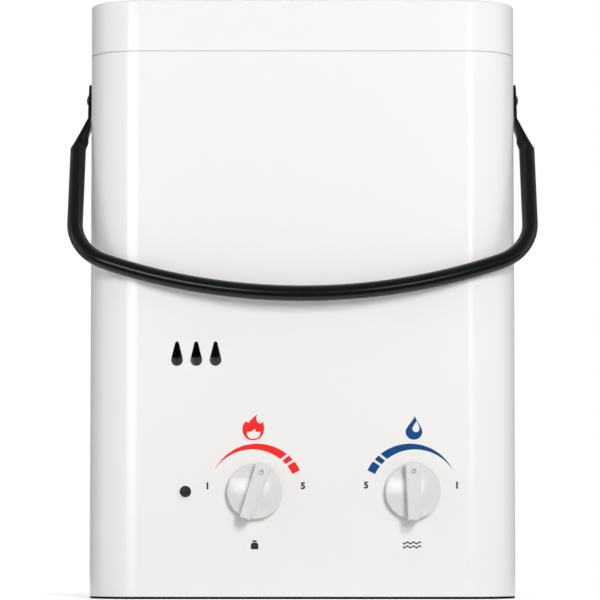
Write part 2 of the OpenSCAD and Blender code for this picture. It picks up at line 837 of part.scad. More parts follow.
// A flattened end with its rounded tip, and the bore for the pivot screw
module bail_end() {
  tip_r = end_w / 2;
  translate([flat_x, 0, 0]) rotate([90, 0, 90]) linear_extrude(end_t) {
    translate([0, end_over - tip_r]) circle(tip_r);
    translate([-tip_r, -end_flat]) square([end_w, end_flat + end_over - tip_r]);
  }
}

module handle_bail() {
  bore_l = 2 * side_x + 20;
  color("#1c1c1c") translate([0, 0, pivot_z]) rotate([-rest_angle, 0, 0]) difference() {
    union() {
      bail_tube();
      bail_end();
      mirror([1, 0, 0]) bail_end();
    }
    rod_x([-bore_l / 2, 0, 0], bore_l, pivot_r + run_gap);
  }
}

// A pivot screw of the right-hand side, from its head inwards
module pivot_screw() {
  seat = flat_x + end_t + side_gap;
  dome_r = (pivot_head_r ^ 2 + pivot_head_h ^ 2) / (2 * pivot_head_h);
  inner = side_in - ear_t - nut_h;
  rod_x([inner, 0, pivot_z], seat - inner, pivot_r);
  intersection() {
    translate([seat + pivot_head_h - dome_r, 0, pivot_z]) sphere(dome_r);
    rod_x([seat, 0, pivot_z], pivot_head_h + past, 2 * pivot_head_r);
  }
}

module handle_screws() {
  color("#2a2a2a") {
    pivot_screw();
    mirror([1, 0, 0]) pivot_screw();
  }
}

module handle_washers() {
  color("#2a2a2a") for (side = [0, 1]) mirror([side, 0, 0]) difference() {
    rod_x([side_x, 0, pivot_z], washer_t, washer_r);
    rod_x([side_x - past, 0, pivot_z], washer_t + 2 * past, pivot_r + run_gap);
  }
}

module handle_brackets() {
  color("silver") for (side = [0, 1]) mirror([side, 0, 0]) difference() {
    span([side_in - ear_t, -ear_w / 2, pivot_z - ear_w / 2],
         [side_in, ear_w / 2, pivot_z + ear_w / 2]);
    rod_x([side_in - ear_t - past, 0, pivot_z], ear_t + 2 * past, pivot_r + run_gap);
  }
}

module handle_nuts() {
  color("silver") for (side = [0, 1]) mirror([side, 0, 0])
    translate([side_in - ear_t - nut_h, 0, pivot_z]) rotate([0, 90, 0])
      hex_nut(2 * pivot_r, nut_h, pivot_r + run_gap);
}

// ---- Controls ----

// A knob that stands on the panel along +Z, its pointer towards +Y
module knob() {
  seat = knob_gap + seat_l;
  difference() {
    union() {
      rotate_extrude() {
        translate([0, knob_gap]) square([knob_r, disc_h - disc_round - knob_gap]);
        translate([0, knob_gap]) square([knob_r - disc_round, disc_h - knob_gap]);
        translate([knob_r - disc_round, disc_h - disc_round]) circle(disc_round);
      }
      translate([0, 0, knob_gap]) linear_extrude(knob_h - knob_gap) intersection() {
        circle(grip_l / 2);
        polygon([
          [-grip_narrow / 2, -grip_l / 2 + 0.6], [grip_narrow / 2, -grip_l / 2 + 0.6],
          [grip_wide / 2, grip_l / 2], [-grip_wide / 2, grip_l / 2]
        ]);
      }
    }
    translate([0, mark_l, knob_h - mark_deep]) cylinder(h = mark_deep + past, r = mark_r);
    cylinder(h = seat, r = spindle_r + run_gap);
  }
}

// A spindle along +Z whose inner end lies depth below the panel
module spindle(depth) {
  translate([0, 0, -depth]) cylinder(h = depth + knob_gap + seat_l - 0.3, r = spindle_r);
}

module gas_knob() {
  color("white") translate([gas_x, front_y, control_z]) rotate([90, 0, 0])
    rotate(-gas_turn) knob();
}

module gas_spindle() {
  depth = gas_front_y - front_y + 12;
  color("silver") translate([gas_x, front_y, control_z]) rotate([90, 0, 0]) spindle(depth);
}

module water_knob() {
  color("white") translate([water_x, front_y, control_z]) rotate([90, 0, 0]) knob();
}

module water_spindle() {
  depth = valve_y0 - front_y + 9;
  color("silver") translate([water_x, front_y, control_z]) rotate([90, 0, 0]) spindle(depth);
}

module power_button() {
  color("#222222") rod_y([button_x, front_y - button_out, control_z], button_l, button_r);
}

module button_bezel() {
  color("white") difference() {
    union() {
      rod_y([button_x, front_y - bezel_out, control_z], bezel_out, bezel_r);
      rod_y([button_x, front_y - bezel_out, control_z], bezel_out + barrel_l, barrel_out);
    }
    rod_y([button_x, front_y - 2 * bezel_out, control_z], barrel_l + 4, button_r + run_gap);
  }
}

module button_switch() {
  y0 = front_y + barrel_l;
  half = 7;
  color("black") difference() {
    span([button_x - half, y0, control_z - half], [button_x + half, y0 + 14, control_z + half]);
    rod_y([button_x, y0 - past, control_z],
          button_l - button_out - barrel_l + button_travel + 1 + past, button_r + run_gap);
  }
}

// ---- Heat exchanger ----

function pass_y(i) = chamber_y + (i - (passes - 1) / 2) * exchanger_pitch;

// The chamber's corners are rounded, so that the jacket's bends hug them
module chamber_shell() {
  inner_r = chamber_corner - copper_t;
  color("peru") difference() {
    translate([0, chamber_y, chamber_z]) linear_extrude(chamber_h) difference() {
      rounded_plan(chamber_w, chamber_d, chamber_corner, chamber_corner);
      rounded_plan(chamber_w - 2 * copper_t, chamber_d - 2 * copper_t, inner_r, inner_r);
    }
    for (i = [0 : passes - 1])
      rod_x([-chamber_w, pass_y(i), exchanger_z], 2 * chamber_w, exchanger_r + braze);
  }
}

module exchanger_fins() {
  fin_d = chamber_d - 2 * copper_t - 2 * braze;
  step = (chamber_w - 14) / (fins - 1);
  color("peru") for (i = [0 : fins - 1])
    translate([(i - (fins - 1) / 2) * step - fin_t / 2, 0, exchanger_z]) rotate([90, 0, 90])
      linear_extrude(fin_t) difference() {
        translate([chamber_y - fin_d / 2, -fin_h / 2]) square([fin_d, fin_h]);
        for (k = [0 : passes - 1]) translate([pass_y(k), 0]) circle(exchanger_r + braze);
      }
}

module exchanger_tubes() {
  z = exchanger_z;
  route = [
    [stub_x, pass_y(0), z], [-turn_x, pass_y(0), z], [-turn_x, pass_y(1), z],
    [turn_x, pass_y(1), z], [turn_x, pass_y(2), z], [-turn_x, pass_y(2), z],
    [-turn_x, pass_y(3), z], [turn_x, pass_y(3), z], [turn_x, pass_y(4), z],
    [-stub_x, pass_y(4), z]
  ];
  color("peru") pipe(route, exchanger_r, pipe_wall, exchanger_pitch / 2);
}

module jacket_coil() {
  rear = chamber_y + coil_y;
  front = chamber_y - coil_y;
  route = [
    [coil_x, coil_in_y, join_z], [coil_x, coil_in_y, jacket_z], [coil_x, rear, jacket_z],
    [-coil_x, rear, jacket_z], [-coil_x, front, jacket_z], [60, front, jacket_z],
    [60, front, jacket_top], [-coil_x, front, jacket_top], [-coil_x, rear, jacket_top],
    [riser_x, rear, jacket_top], [riser_x, pass_y(0), jacket_top],
    [riser_x, pass_y(0), exchanger_z], [stub_x, pass_y(0), exchanger_z]
  ];
  color("peru") pipe(route, pipe_r, pipe_wall, pipe_bend);
}

module cold_pipe() {
  y0 = valve_y0 + valve_d;
  color("peru") pipe([
    [cold_x, y0, cold_z], [cold_x, coil_in_y, cold_z], [coil_x, coil_in_y, cold_z],
    [coil_x, coil_in_y, join_z]
  ], pipe_r, pipe_wall, min(pipe_bend, (coil_x - cold_x) / 2 - 1));
}

module hot_pipe() {
  turn_z = burner_z - 12;
  y = pass_y(passes - 1);
  color("peru") pipe([
    [-stub_x, y, exchanger_z], [-riser_x, y, exchanger_z], [-riser_x, y, turn_z],
    [outlet_x, y, turn_z], [outlet_x, nipple_y, turn_z], [outlet_x, nipple_y, outlet_top]
  ], pipe_r, pipe_wall, pipe_bend);
}

module pipe_nuts() {
  nut_r = pipe_r + 3.6;
  nut_l = 9;
  color("goldenrod") {
    translate([coil_x, coil_in_y, join_z - nut_l / 2]) hex_nut(nut_r, nut_l, pipe_r + run_gap);
    translate([outlet_x, nipple_y, outlet_top]) hex_nut(nut_r, nut_l, pipe_r + run_gap);
    translate([cold_x, valve_y0 + valve_d, cold_z]) rotate([-90, 0, 0])
      hex_nut(nut_r, 5, pipe_r + run_gap);
  }
}

module flue_hood() {
  wall = 0.8;
  top = grille_z - chamber_top;
  foot = 4;
  color("silver") translate([0, 0, chamber_top]) difference() {
    hull() {
      translate([0, chamber_y, foot / 2]) cube([chamber_w, chamber_d, foot], center = true);
      translate([0, 0, top - 1]) cube([exhaust_w + 4, exhaust_d + 4, 2], center = true);
    }
    hull() {
      translate([0, chamber_y, foot / 2 - past])
        cube([chamber_w - 2 * wall, chamber_d - 2 * wall, foot], center = true);
      translate([0, 0, top]) cube([exhaust_w + 2.4, exhaust_d + 2.4, 2], center = true);
    }
  }
}

module overheat_switch() {
  y = chamber_y - chamber_d / 2;
  z = exchanger_z - 27;
  color("#d9d2c0") {
    rod_y([40, y - 5, z], 5, 8);
    rod_y([36, y - 11, z], 6, 1);
    rod_y([44, y - 11, z], 6, 1);
  }
}

module chamber_brackets() {
  y0 = chamber_y + chamber_d / 2;
  z = jacket_z + jacket_rise / 2;
  color("silver") for (side = [-1, 1]) translate([side * strap_x - strap_w / 2, 0, z]) {
    span([0, y0, 0], [strap_w, plate_front, strap_t]);
    span([0, y0, 0], [strap_w, y0 + strap_t, strap_l]);
    span([0, plate_front - strap_t, -strap_l], [strap_w, plate_front, strap_t]);
  }
}

// ---- Burner ----

module burner_frame() {
  rear = burner_y + burner_d / 2;
  color("#b9b6ae") difference() {
    union() {
      translate([0, burner_y, burner_z]) linear_extrude(chamber_z - burner_z) difference() {
        square([burner_w, burner_d], center = true);
        square([burner_w - 2 * burner_t, burner_d - 2 * burner_t], center = true);
      }
      for (y = [-28, 28])
        span([-burner_w / 2 + burner_t / 2, burner_y + y - 3, rail - 1.5],
             [burner_w / 2 - burner_t / 2, burner_y + y + 3, rail]);
      for (side = [-1, 1]) {
        translate([side * 70, 0, burner_z + 4])
          span([-8, rear - burner_t / 2, 0], [8, plate_front, 1.5]);
        translate([side * (burner_w / 2 - 3), burner_y, chamber_z - 1])
          cube([6, burner_d, 2], center = true);
      }
    }
    span([-burner_w, burner_front - past, burner_front_z],
         [burner_w, burner_front + burner_t, chamber_z + 2]);
    for (i = [0 : bars - 1])
      rod_y([bar_x0 + i * bar_pitch, burner_front - past, injector_z],
            burner_t + 2 * past, injector_r + 1);
  }
}

// Burner bars folded from sheet: open at the foot, with a comb of flame ports along the top
module burner_bars() {
  ports = 11;
  port_l = 2;
  port_h = 5;
  pitch = bar_l / (ports + 1);
  color("#a7a49b") for (i = [0 : bars - 1])
    translate([bar_x0 + i * bar_pitch - bar_w / 2, burner_y - bar_l / 2, rail]) difference() {
      rotate([90, 0, 90]) linear_extrude(bar_w) difference() {
        square([bar_l, bar_h]);
        for (k = [1 : ports])
          translate([k * pitch - port_l / 2, bar_h - port_h]) square([port_l, port_h + past]);
        translate([-past, -past]) square([12, port_h]);
      }
      translate([burner_t, burner_t + 4, -past])
        cube([bar_w - 2 * burner_t, bar_l - 2 * burner_t - 8, bar_h - port_h - 2 + past]);
    }
}

module gas_manifold() {
  half = burner_w / 2 - 6;
  color("silver") {
    span([-half, manifold_y - manifold_d / 2, manifold_z],
         [half, manifold_y + manifold_d / 2, manifold_z + manifold_h]);
    rod_z([gas_x, manifold_y, valve_z + gas_h], manifold_z - valve_z - gas_h, 3.9);
    for (side = [-1, 1])
      translate([side * (half - 6), 0, manifold_z + manifold_h])
        span([-5, burner_front - 1.2, -2], [5, burner_front, 12]);
    for (side = [-1, 1])
      translate([side * (half - 6), 0, manifold_z + manifold_h])
        span([-5, manifold_y, -1.2], [5, burner_front, 0]);
  }
}

module injectors() {
  start = manifold_y + manifold_d / 2;
  color("goldenrod") for (i = [0 : bars - 1])
    difference() {
      rod_y([bar_x0 + i * bar_pitch, start, injector_z], manifold_gap + 4, injector_r);
      rod_y([bar_x0 + i * bar_pitch, start + 1, injector_z], manifold_gap + 4, 0.5);
    }
}

module electrodes() {
  tail = burner_front - 10;
  color("ivory") for (x = electrode_x) {
    rod_y([x, tail, electrode_z], 16, electrode_r);
    rod_y([x, tail + 16, electrode_z], 10, 0.8);
  }
}

module electrode_bracket() {
  x0 = electrode_x[0] - electrode_margin;
  x1 = electrode_x[1] + electrode_margin;
  color("silver") difference() {
    span([x0, burner_front - electrode_t, burner_front_z - electrode_drop],
         [x1, burner_front, electrode_z + electrode_margin]);
    for (x = electrode_x)
      rod_y([x, burner_front - 3, electrode_z], 6, electrode_r + run_gap);
  }
}

// ---- Gas valve ----

module gas_valve_body() {
  bore_l = 13;
  boss = 4;
  top = valve_z + gas_h;
  color("silver") difference() {
    union() {
      span([gas_x0, gas_front_y, valve_z], [gas_x0 + gas_w, gas_front_y + gas_d, top]);
      rod_y([gas_x, gas_front_y - boss, control_z], boss + 1, 9);
      for (side = [-1, 1])
        rod_y([gas_x + side * 20, gas_front_y - 1.5, valve_z + 10], 3, 4);
    }
    rod_y([gas_x, gas_front_y - boss - past, control_z], bore_l + boss + past,
          spindle_r + run_gap);
    rod_z([gas_x, nipple_y, valve_z - past], 8, gas_bore);
  }
}

module solenoid_valve() {
  y = gas_front_y + gas_d;
  color("#8a2f2a") {
    rod_y([gas_x, y, control_z], 4, solenoid_r + 2);
    rod_y([gas_x, y + 4, control_z], solenoid_l - 4, solenoid_r);
  }
}

// A nipple that hangs from the ceiling of the bay: thread, hexagon and neck up to z1
module nipple(x, r, bore, hex_r, z1) {
  hex_h = 7;
  lead = 1.5;
  neck_r = bore + neck_wall;
  color("goldenrod") translate([x, nipple_y, 0]) difference() {
    union() {
      translate([0, 0, nipple_z]) cylinder(h = lead, r1 = r - lead, r2 = r);
      translate([0, 0, nipple_z + lead]) cylinder(h = thread_top - nipple_z - lead, r = r);
      translate([0, 0, thread_top]) cylinder(h = ceiling_z - thread_top, r = r - 1);
      translate([0, 0, ceiling_z]) cylinder(h = hex_h, r = hex_r, $fn = 6);
      translate([0, 0, ceiling_z + hex_h]) cylinder(h = z1 - ceiling_z - hex_h, r = neck_r);
    }
    translate([0, 0, nipple_z - past]) cylinder(h = z1 - nipple_z + 2 * past, r = bore);
  }
}

module gas_inlet() {
  nipple(gas_x, gas_r, gas_bore, gas_r + 3, valve_z);
}

module water_inlet() {
  nipple(inlet_x, inlet_r, inlet_r - nipple_wall, inlet_r + 2.4, valve_z);
}

module water_outlet() {
  nipple(outlet_x, outlet_r, outlet_r - nipple_wall, outlet_r + 2.4, outlet_top);
}

module inlet_filter() {
  r = inlet_r - nipple_wall - run_gap;
  color("lightgray") translate([inlet_x, nipple_y, nipple_z + 4]) difference() {
    cylinder(h = 14, r = r);
    translate([0, 0, -past]) cylinder(h = 13 + past, r = r - 1);
    for (i = [0 : 3], z = [3, 7])
      translate([0, 0, z]) rotate([0, 0, 45 * i]) translate([-r - past, -1.2, 0])
        cube([2 * r + 2 * past, 2.4, 2.4]);
  }
}

// ---- Water valve ----

module water_valve_body() {
  top = valve_z + valve_h;
  y1 = valve_y0 + valve_d;
  boss = 6;
  arm_y = nipple_y + 8;
  color("#c9a24a") difference() {
    union() {
      span([valve_x0, valve_y0, valve_z], [valve_x1, y1, top]);
      rod_x([valve_x1 - 2, nipple_y, rod_z], housing_t, housing_r);
      rod_y([water_x, valve_y0 - boss, control_z], boss + 1, 9);
      span([valve_x0 - 22, arm_y, rod_z - 6], [valve_x0, arm_y + 2, rod_z + 6]);
    }
    rod_y([water_x, valve_y0 - boss - past, control_z], boss + past + 10, spindle_r + run_gap);
    rod_x([flange_x - chamber_cut, nipple_y, rod_z], chamber_cut + past, chamber_cut_r);
    rod_x([valve_x0 - past, nipple_y, rod_z], flange_x - chamber_cut - valve_x0 + 2 * past,
          rod_r + run_gap);
    rod_z([inlet_x, nipple_y, valve_z - past], 9, inlet_r - nipple_wall);
    rod_y([cold_x, y1 - 8, cold_z], 8 + past, pipe_r - pipe_wall);
  }
}

module diaphragm() {
  color("#333333") rod_x([flange_x, nipple_y, rod_z], diaphragm_t, housing_r);
}

module diaphragm_cover() {
  x = flange_x + diaphragm_t;
  color("#c9a24a") difference() {
    union() {
      rod_x([x, nipple_y, rod_z], 4, housing_r);
      rod_x([x, nipple_y, rod_z], housing_cover, chamber_cut_r + 1);
    }
    rod_x([x - past, nipple_y, rod_z], housing_cover - 2 + past, chamber_cut_r - 2);
  }
}

module diaphragm_screws() {
  x = flange_x + diaphragm_t + 4;
  color("silver") for (a = [30 : 60 : 330])
    translate([x, nipple_y, rod_z]) rotate([a, 0, 0]) translate([0, housing_r - 2, 0])
      rotate([0, 90, 0]) cylinder(h = 2, r = 1.9);
}

module push_rod() {
  head_x = flange_x - 1.5;
  color("silver") {
    rod_x([valve_x0 - gland, nipple_y, rod_z], head_x - valve_x0 + gland, rod_r);
    rod_x([head_x, nipple_y, rod_z], 1.2, chamber_cut_r - 8);
  }
}

module microswitch() {
  x1 = valve_x0 - gland + 1.5;
  y0 = nipple_y - 8;
  color("#222222") difference() {
    span([x1 - 18, y0, rod_z - 8], [x1, nipple_y + 8, rod_z + 8]);
    rod_x([x1 - 7 - rod_travel, nipple_y, rod_z], 8 + rod_travel, rod_r + 2 * run_gap);
  }
}

module relief_valve() {
  color("goldenrod") translate([relief_x, nipple_y, 0]) {
    rod_z([0, 0, nipple_z + 4], valve_z - nipple_z - 4, relief_r);
    rod_z([0, 0, nipple_z + 2], 10, relief_r + 1);
  }
}

// ---- Electrics ----

module ignition_module() {
  color("#26282c") {
    span([module_x, plate_front - module_d, module_z],
         [module_x + module_w, plate_front, module_z + module_h]);
    rod_y([lead_out_x, plate_front - module_d - 4, lead_out_z], 4, 4);
  }
}

module battery_box() {
  color("#2b2b2b") translate([box_x, 0, floor_t]) difference() {
    linear_extrude(box_top + box_wall - floor_t) square(box_w, center = true);
    translate([0, 0, -past]) linear_extrude(box_top - floor_t + past)
      square(box_in, center = true);
  }
}

module battery_cells() {
  nub = 1.2;
  color("#7d7f83") for (i = [0, 1]) translate([box_x, 0, cell_z + i * cell_l]) {
    cylinder(h = cell_l - nub - 0.1, r = cell_d / 2);
    cylinder(h = cell_l - 0.1, r = 4.5);
  }
}

module battery_contact() {
  color("silver") translate([box_x, 0, 0]) {
    rod_z([0, 0, box_top - 1], 1, 12);
    rod_z([0, 0, cell_z + 2 * cell_l], box_top - 1 - cell_z - 2 * cell_l, 3);
  }
}

module battery_door() {
  half = box_in / 2 - door_gap;
  x0 = box_x - box_in / 2 + door_gap;
  color("#202020") {
    span([x0, -half, door_z], [hinge_x, half, door_z + door_t]);
    rod_y([hinge_x, -half, hinge_z], 2 * half, barrel_r);
    rod_y([hinge_x, -half - door_gap - lug_w + 0.3, hinge_z],
          2 * (half + door_gap + lug_w - 0.3), door_pin_r);
  }
}

module door_contact() {
  color("silver") translate([box_x, 0, door_z + door_t]) {
    rod_z([0, 0, 0], 0.5, 11);
    rod_z([0, 0, 0.5], cell_z - door_z - door_t - 0.7, 5);
  }
}

module ignition_lead() {
  y = plate_front - module_d - 4;
  tail = burner_front - 10;
  color("#b02a20") pipe([
    [lead_out_x, y, lead_out_z], [lead_out_x, y - 12, lead_out_z],
    [lead_x, y - 12, lead_out_z], [lead_x, y - 12, lead_z], [lead_x, lead_front, lead_z],
    [lead_x, lead_front, electrode_z], [lead_x, tail, electrode_z]
  ], lead_r, 0, lead_bend);
}

module wiring_loom() {
  y = plate_front - module_d / 2;
  switch_x = valve_x0 - gland + 1.5 - 8;
  color("#1f1f24") {
    pipe([
      [module_x, y, module_z + 30], [box_x + box_w / 2 + 14, y, module_z + 30],
      [box_x + box_w / 2 + 14, 10, module_z + 30], [box_x + box_w / 2, 10, module_z + 30]
    ], loom_r, 0, 6);
    pipe([
      [module_x + 8, plate_front - module_d, module_z + 12],
      [module_x + 8, coil_in_y + 12, module_z + 12], [switch_x, coil_in_y + 12, module_z + 12],
      [switch_x, nipple_y, module_z + 12], [switch_x, nipple_y, rod_z - 8]
    ], loom_r, 0, 5);
  }
}

front_cover();
top_cap();
exhaust_grille();
back_plate();
base_tray();
hanging_bracket();
bracket_rivets();
cover_screws();
cap_screws();
handle_bail();
handle_screws();
handle_washers();
handle_brackets();
handle_nuts();
gas_knob();
gas_spindle();
water_knob();
water_spindle();
power_button();
button_bezel();
button_switch();
chamber_shell();
exchanger_fins();
exchanger_tubes();
jacket_coil();
cold_pipe();
hot_pipe();
pipe_nuts();
flue_hood();
overheat_switch();
chamber_brackets();
burner_frame();
burner_bars();
gas_manifold();
injectors();
electrodes();
electrode_bracket();
gas_valve_body();
solenoid_valve();
gas_inlet();
water_valve_body();
diaphragm();
diaphragm_cover();
diaphragm_screws();
push_rod();
microswitch();
water_inlet();
inlet_filter();
water_outlet();
relief_valve();
ignition_module();
battery_box();
battery_cells();
battery_contact();
battery_door();
door_contact();
ignition_lead();
wiring_loom();
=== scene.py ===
"""Looks of the portable gas water heater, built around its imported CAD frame.

All lengths below are written in millimetres and turned into metres when a mesh is made.
X runs to the right seen from the front, Y to the rear and Z up.
"""
import math

import bmesh
import bpy
import numpy as np
from mathutils import Matrix, Vector
from mathutils.geometry import tessellate_polygon


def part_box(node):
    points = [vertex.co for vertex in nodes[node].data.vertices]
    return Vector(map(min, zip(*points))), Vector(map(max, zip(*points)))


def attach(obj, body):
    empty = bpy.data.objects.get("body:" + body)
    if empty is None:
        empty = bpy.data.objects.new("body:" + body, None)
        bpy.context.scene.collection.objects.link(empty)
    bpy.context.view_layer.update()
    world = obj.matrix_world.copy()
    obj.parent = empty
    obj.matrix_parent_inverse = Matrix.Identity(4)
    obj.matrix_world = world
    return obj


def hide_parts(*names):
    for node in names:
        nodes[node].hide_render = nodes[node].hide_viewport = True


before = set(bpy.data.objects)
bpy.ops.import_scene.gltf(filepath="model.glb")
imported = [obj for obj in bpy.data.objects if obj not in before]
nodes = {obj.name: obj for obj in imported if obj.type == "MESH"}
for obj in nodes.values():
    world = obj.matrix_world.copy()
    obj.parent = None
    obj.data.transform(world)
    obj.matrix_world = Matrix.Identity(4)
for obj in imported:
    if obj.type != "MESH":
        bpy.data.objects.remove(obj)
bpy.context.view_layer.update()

# ---- Sizes, in millimetres ----
# Most are the CAD part's. The knob's dome and mark, the tube's radius and inset, the neck's start
# and the print are the scene's own, nearer to the photograph.

SIDE_X, FRONT_Y, REAR_Y = 149.0, -63.5, 63.5
SHEET, SHEET_EDGE, HOLE_EDGE = 0.8, 0.3, 0.25
CORNER_R, REAR_R, BEND_GAP = 35.0, 5.0, 0.4
LEDGE, COVER_TOP, SEAM_Z, ROOF_Z = 1.5, 380.4, 381.0, 416.5
FLANGE = 14.0
EXHAUST = (150.0, 56.0)
CONTROL_Z = 74.0
GAS_X, WATER_X, BUTTON_X = -33.0, 76.2, -80.9
GAS_TURN = 19.7
KNOB_R, KNOB_GAP, DISC_H, KNOB_H = 19.1, 0.8, 9.0, 20.0
GRIP_L, GRIP_WIDE, GRIP_NARROW = 41.0, 11.4, 7.7
DOME_R, DOME_LOW, DISC_EDGE = 60.0, 1.5, 1.3
MARK_R, MARK_L, MARK_DEEP = 1.2, 13.6, 1.8
SPINDLE_R = 3.05
SPINDLE_HOLE_R, BUTTON_HOLE_R = 6.5, 4.5
VIEW_X, VIEW_PITCH, VIEW_Z, VIEW_R, VIEW_TIP, VIEW_L = -73.65, 13.35, 165.1, 4.07, 1.35, 11.4
PIVOT_Z, PIVOT_BORE = 353.7, 3.2
CAD_TUBE_R = 5.32
TUBE_R, TUBE_IN, ARM_X, ARM_L, BAIL_L, BAIL_CORNER = 5.5, 0.24, 159.22, 105.0, 163.4, 34.7
FLAT_X, END_W, END_T, END_OVER, END_FLAT, NECK_L = 150.35, 15.5, 2.2, 12.4, 16.5, 26.5
NECK_START = -20.3
PRINT_OUT, PRINT_IN = 0.03, 0.05
# The scales' two circles: centre from the knob's axis, and radius
SCALE_OUTER, SCALE_INNER = (1.70966, 0.15228, 32.9819), (-1.6266, -1.86886, 31.00922)


# ---- Mesh helpers ----

def grid_faces(m, n, wrap_m):
    """Quads of an m by n grid of points, stations by points round. Each ring is closed, and the
    last station may join the first."""
    i, j = np.meshgrid(np.arange(m if wrap_m else m - 1), np.arange(n), indexing="ij")
    i2, j2 = (i + 1) % m, (j + 1) % n
    return np.stack([i * n + j, i2 * n + j, i2 * n + j2, i * n + j2], -1).reshape(-1, 4).tolist()


def grid_part(points, wrap_m=False, caps=False):
    """A grid of points (m, n, 3) as vertices and quads; caps closes each end with one face."""
    m, n = points.shape[:2]
    faces = grid_faces(m, n, wrap_m)
    if caps:
        faces += [list(range(n - 1, -1, -1)), list(range((m - 1) * n, m * n))]
    return points.reshape(-1, 3), faces


def upright(loop, y):
    """A loop of (x, z) points stood up in the plane of one y."""
    return np.stack([loop[:, 0], np.full(len(loop), y), loop[:, 1]], -1)


def fill_part(loops):
    """A flat face with holes: the first loop (k, 3) is its outline and the others are the holes."""
    tris = tessellate_polygon([[Vector(p) for p in loop.tolist()] for loop in loops])
    return np.concatenate(loops), [list(t) for t in tris]


def placed(part, matrix):
    """The part with its points multiplied by a 4 by 4 matrix."""
    points, faces = part
    m = np.array(matrix)
    return points @ m[:3, :3].T + m[:3, 3], faces


def piece(name, parts, material, body, replaces=(), smooth=16):
    """One object of several parts: doubles merged, faces turned outwards, shaded smooth except
    over edges sharper than the given angle, riding on a body."""
    offset, points, faces = 0, [], []
    for pts, fcs in parts:
        points.append(np.asarray(pts, float))
        faces += [[k + offset for k in f] for f in fcs]
        offset += len(pts)
    mesh = bpy.data.meshes.new(name)
    mesh.from_pydata((np.concatenate(points) * 0.001).tolist(), [], faces)
    bm = bmesh.new()
    bm.from_mesh(mesh)
    bmesh.ops.remove_doubles(bm, verts=bm.verts, dist=2e-6)
    bmesh.ops.recalc_face_normals(bm, faces=bm.faces)
    bm.to_mesh(mesh)
    bm.free()
    mesh.polygons.foreach_set("use_smooth", np.ones(len(mesh.polygons), bool))
    mesh.set_sharp_from_angle(angle=math.radians(smooth))
    mesh.materials.append(material)
    obj = bpy.data.objects.new(name, mesh)
    bpy.context.scene.collection.objects.link(obj)
    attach(obj, body)
    if replaces:
        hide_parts(*replaces)


def arc(centre, r, a0, a1, k):
    """Points and outward normals of a circular arc in a plane, angles in degrees."""
    a = np.radians(np.linspace(a0, a1, k))
    n = np.stack([np.cos(a), np.sin(a)], -1)
    return np.asarray(centre, float) + r * n, n


def path(runs):
    """Joins runs of (points, normals) into one plan path."""
    return np.concatenate([p for p, n in runs]), np.concatenate([n for p, n in runs])


def straight(a, b, n):
    """A straight run between two plan points with one normal, with its own two end points."""
    return np.array([a, b], float), np.array([n, n], float)


def box_loop(o0, o1, z0, z1, r, k=4):
    """A rectangle in (inset, height) with its corners rounded to radius r, as one closed loop."""
    corners = [((o0 + r, z0 + r), 180), ((o1 - r, z0 + r), 270), ((o1 - r, z1 - r), 0),
               ((o0 + r, z1 - r), 90)]
    return np.concatenate([arc(c, r, a, a + 90, k)[0] for c, a in corners])


def sweep_plan(plan, loop):
    """Carries a loop of (inset, height) along a plan path: each point steps in from the path by
    its inset against the path's normal."""
    p, n = plan
    xy = p[:, None, :] - loop[None, :, 0:1] * n[:, None, :]
    z = np.broadcast_to(loop[None, :, 1:2], xy.shape[:2] + (1,))
    return np.concatenate([xy, z], -1)


def ring_hole(outline, normals, t, e, k=4):
    """The wall of a hole through a sheet from depth 0 to t, its two rims rounded by e: a grid of
    loops, each the hole's outline moved out by the rounding at its depth."""
    a = np.radians(np.linspace(90, 0, k))
    grow = np.concatenate([e - e * np.cos(a), (e - e * np.cos(a))[::-1]])
    depth = np.concatenate([e - e * np.sin(a), (t - e + e * np.sin(a))[::-1]])
    xy = outline[None] + grow[:, None, None] * normals[None]
    d = np.broadcast_to(depth[:, None, None], xy.shape[:2] + (1,))
    return np.concatenate([xy, d], -1)


def rounded_polygon(corners, radii, k=6):
    """A convex polygon, anticlockwise, with each corner filleted to its radius: points and
    outward normals."""
    c = np.asarray(corners, float)
    runs = []
    for i, r in enumerate(radii):
        a, b, d = c[i - 1], c[i], c[(i + 1) % len(c)]
        u, v = (b - a) / np.linalg.norm(b - a), (d - b) / np.linalg.norm(d - b)
        nu, nv = np.array([u[1], -u[0]]), np.array([v[1], -v[0]])
        a0 = math.atan2(nu[1], nu[0])
        turn = (math.atan2(nv[1], nv[0]) - a0) % (2 * math.pi)
        if r <= 0:
            n = nu + nv
            runs.append((b[None], (n / np.linalg.norm(n))[None]))
            continue
        centre = b - (nu + nv) * r / (1 + nu @ nv)
        runs.append(arc(centre, r, math.degrees(a0), math.degrees(a0 + turn), k))
    return path(runs)


def drop_outline(r_low, r_tip, l, k=40):
    """A drop: a low arc and a tip arc joined by their common tangents; points and normals."""
    lean = math.degrees(math.acos((r_low - r_tip) / l))
    low = arc((0, 0), r_low, 90 + lean, 450 - lean, k)
    tip = arc((0, l), r_tip, 90 - lean, 90 + lean, k // 2)
    return path([low, tip])


def circle_outline(x, z, r, k=64):
    """A circle round (x, z): points and outward normals, without a double end point."""
    p, n = arc((x, z), r, 0, 360, k + 1)
    return p[:-1], n[:-1]


# ---- Shader node groups: effects that several finishes share ----

def new_group(name, inputs, outputs):
    """An empty shader node group with named sockets; inputs give (type, name, default)."""
    g = bpy.data.node_groups.new(name, "ShaderNodeTree")
    for kind, label, value in inputs:
        s = g.interface.new_socket(name=label, in_out="INPUT", socket_type="NodeSocket" + kind)
        if value is not None:
            s.default_value = value
    for kind, label in outputs:
        g.interface.new_socket(name=label, in_out="OUTPUT", socket_type="NodeSocket" + kind)
    return g, g.nodes.new("NodeGroupInput"), g.nodes.new("NodeGroupOutput")


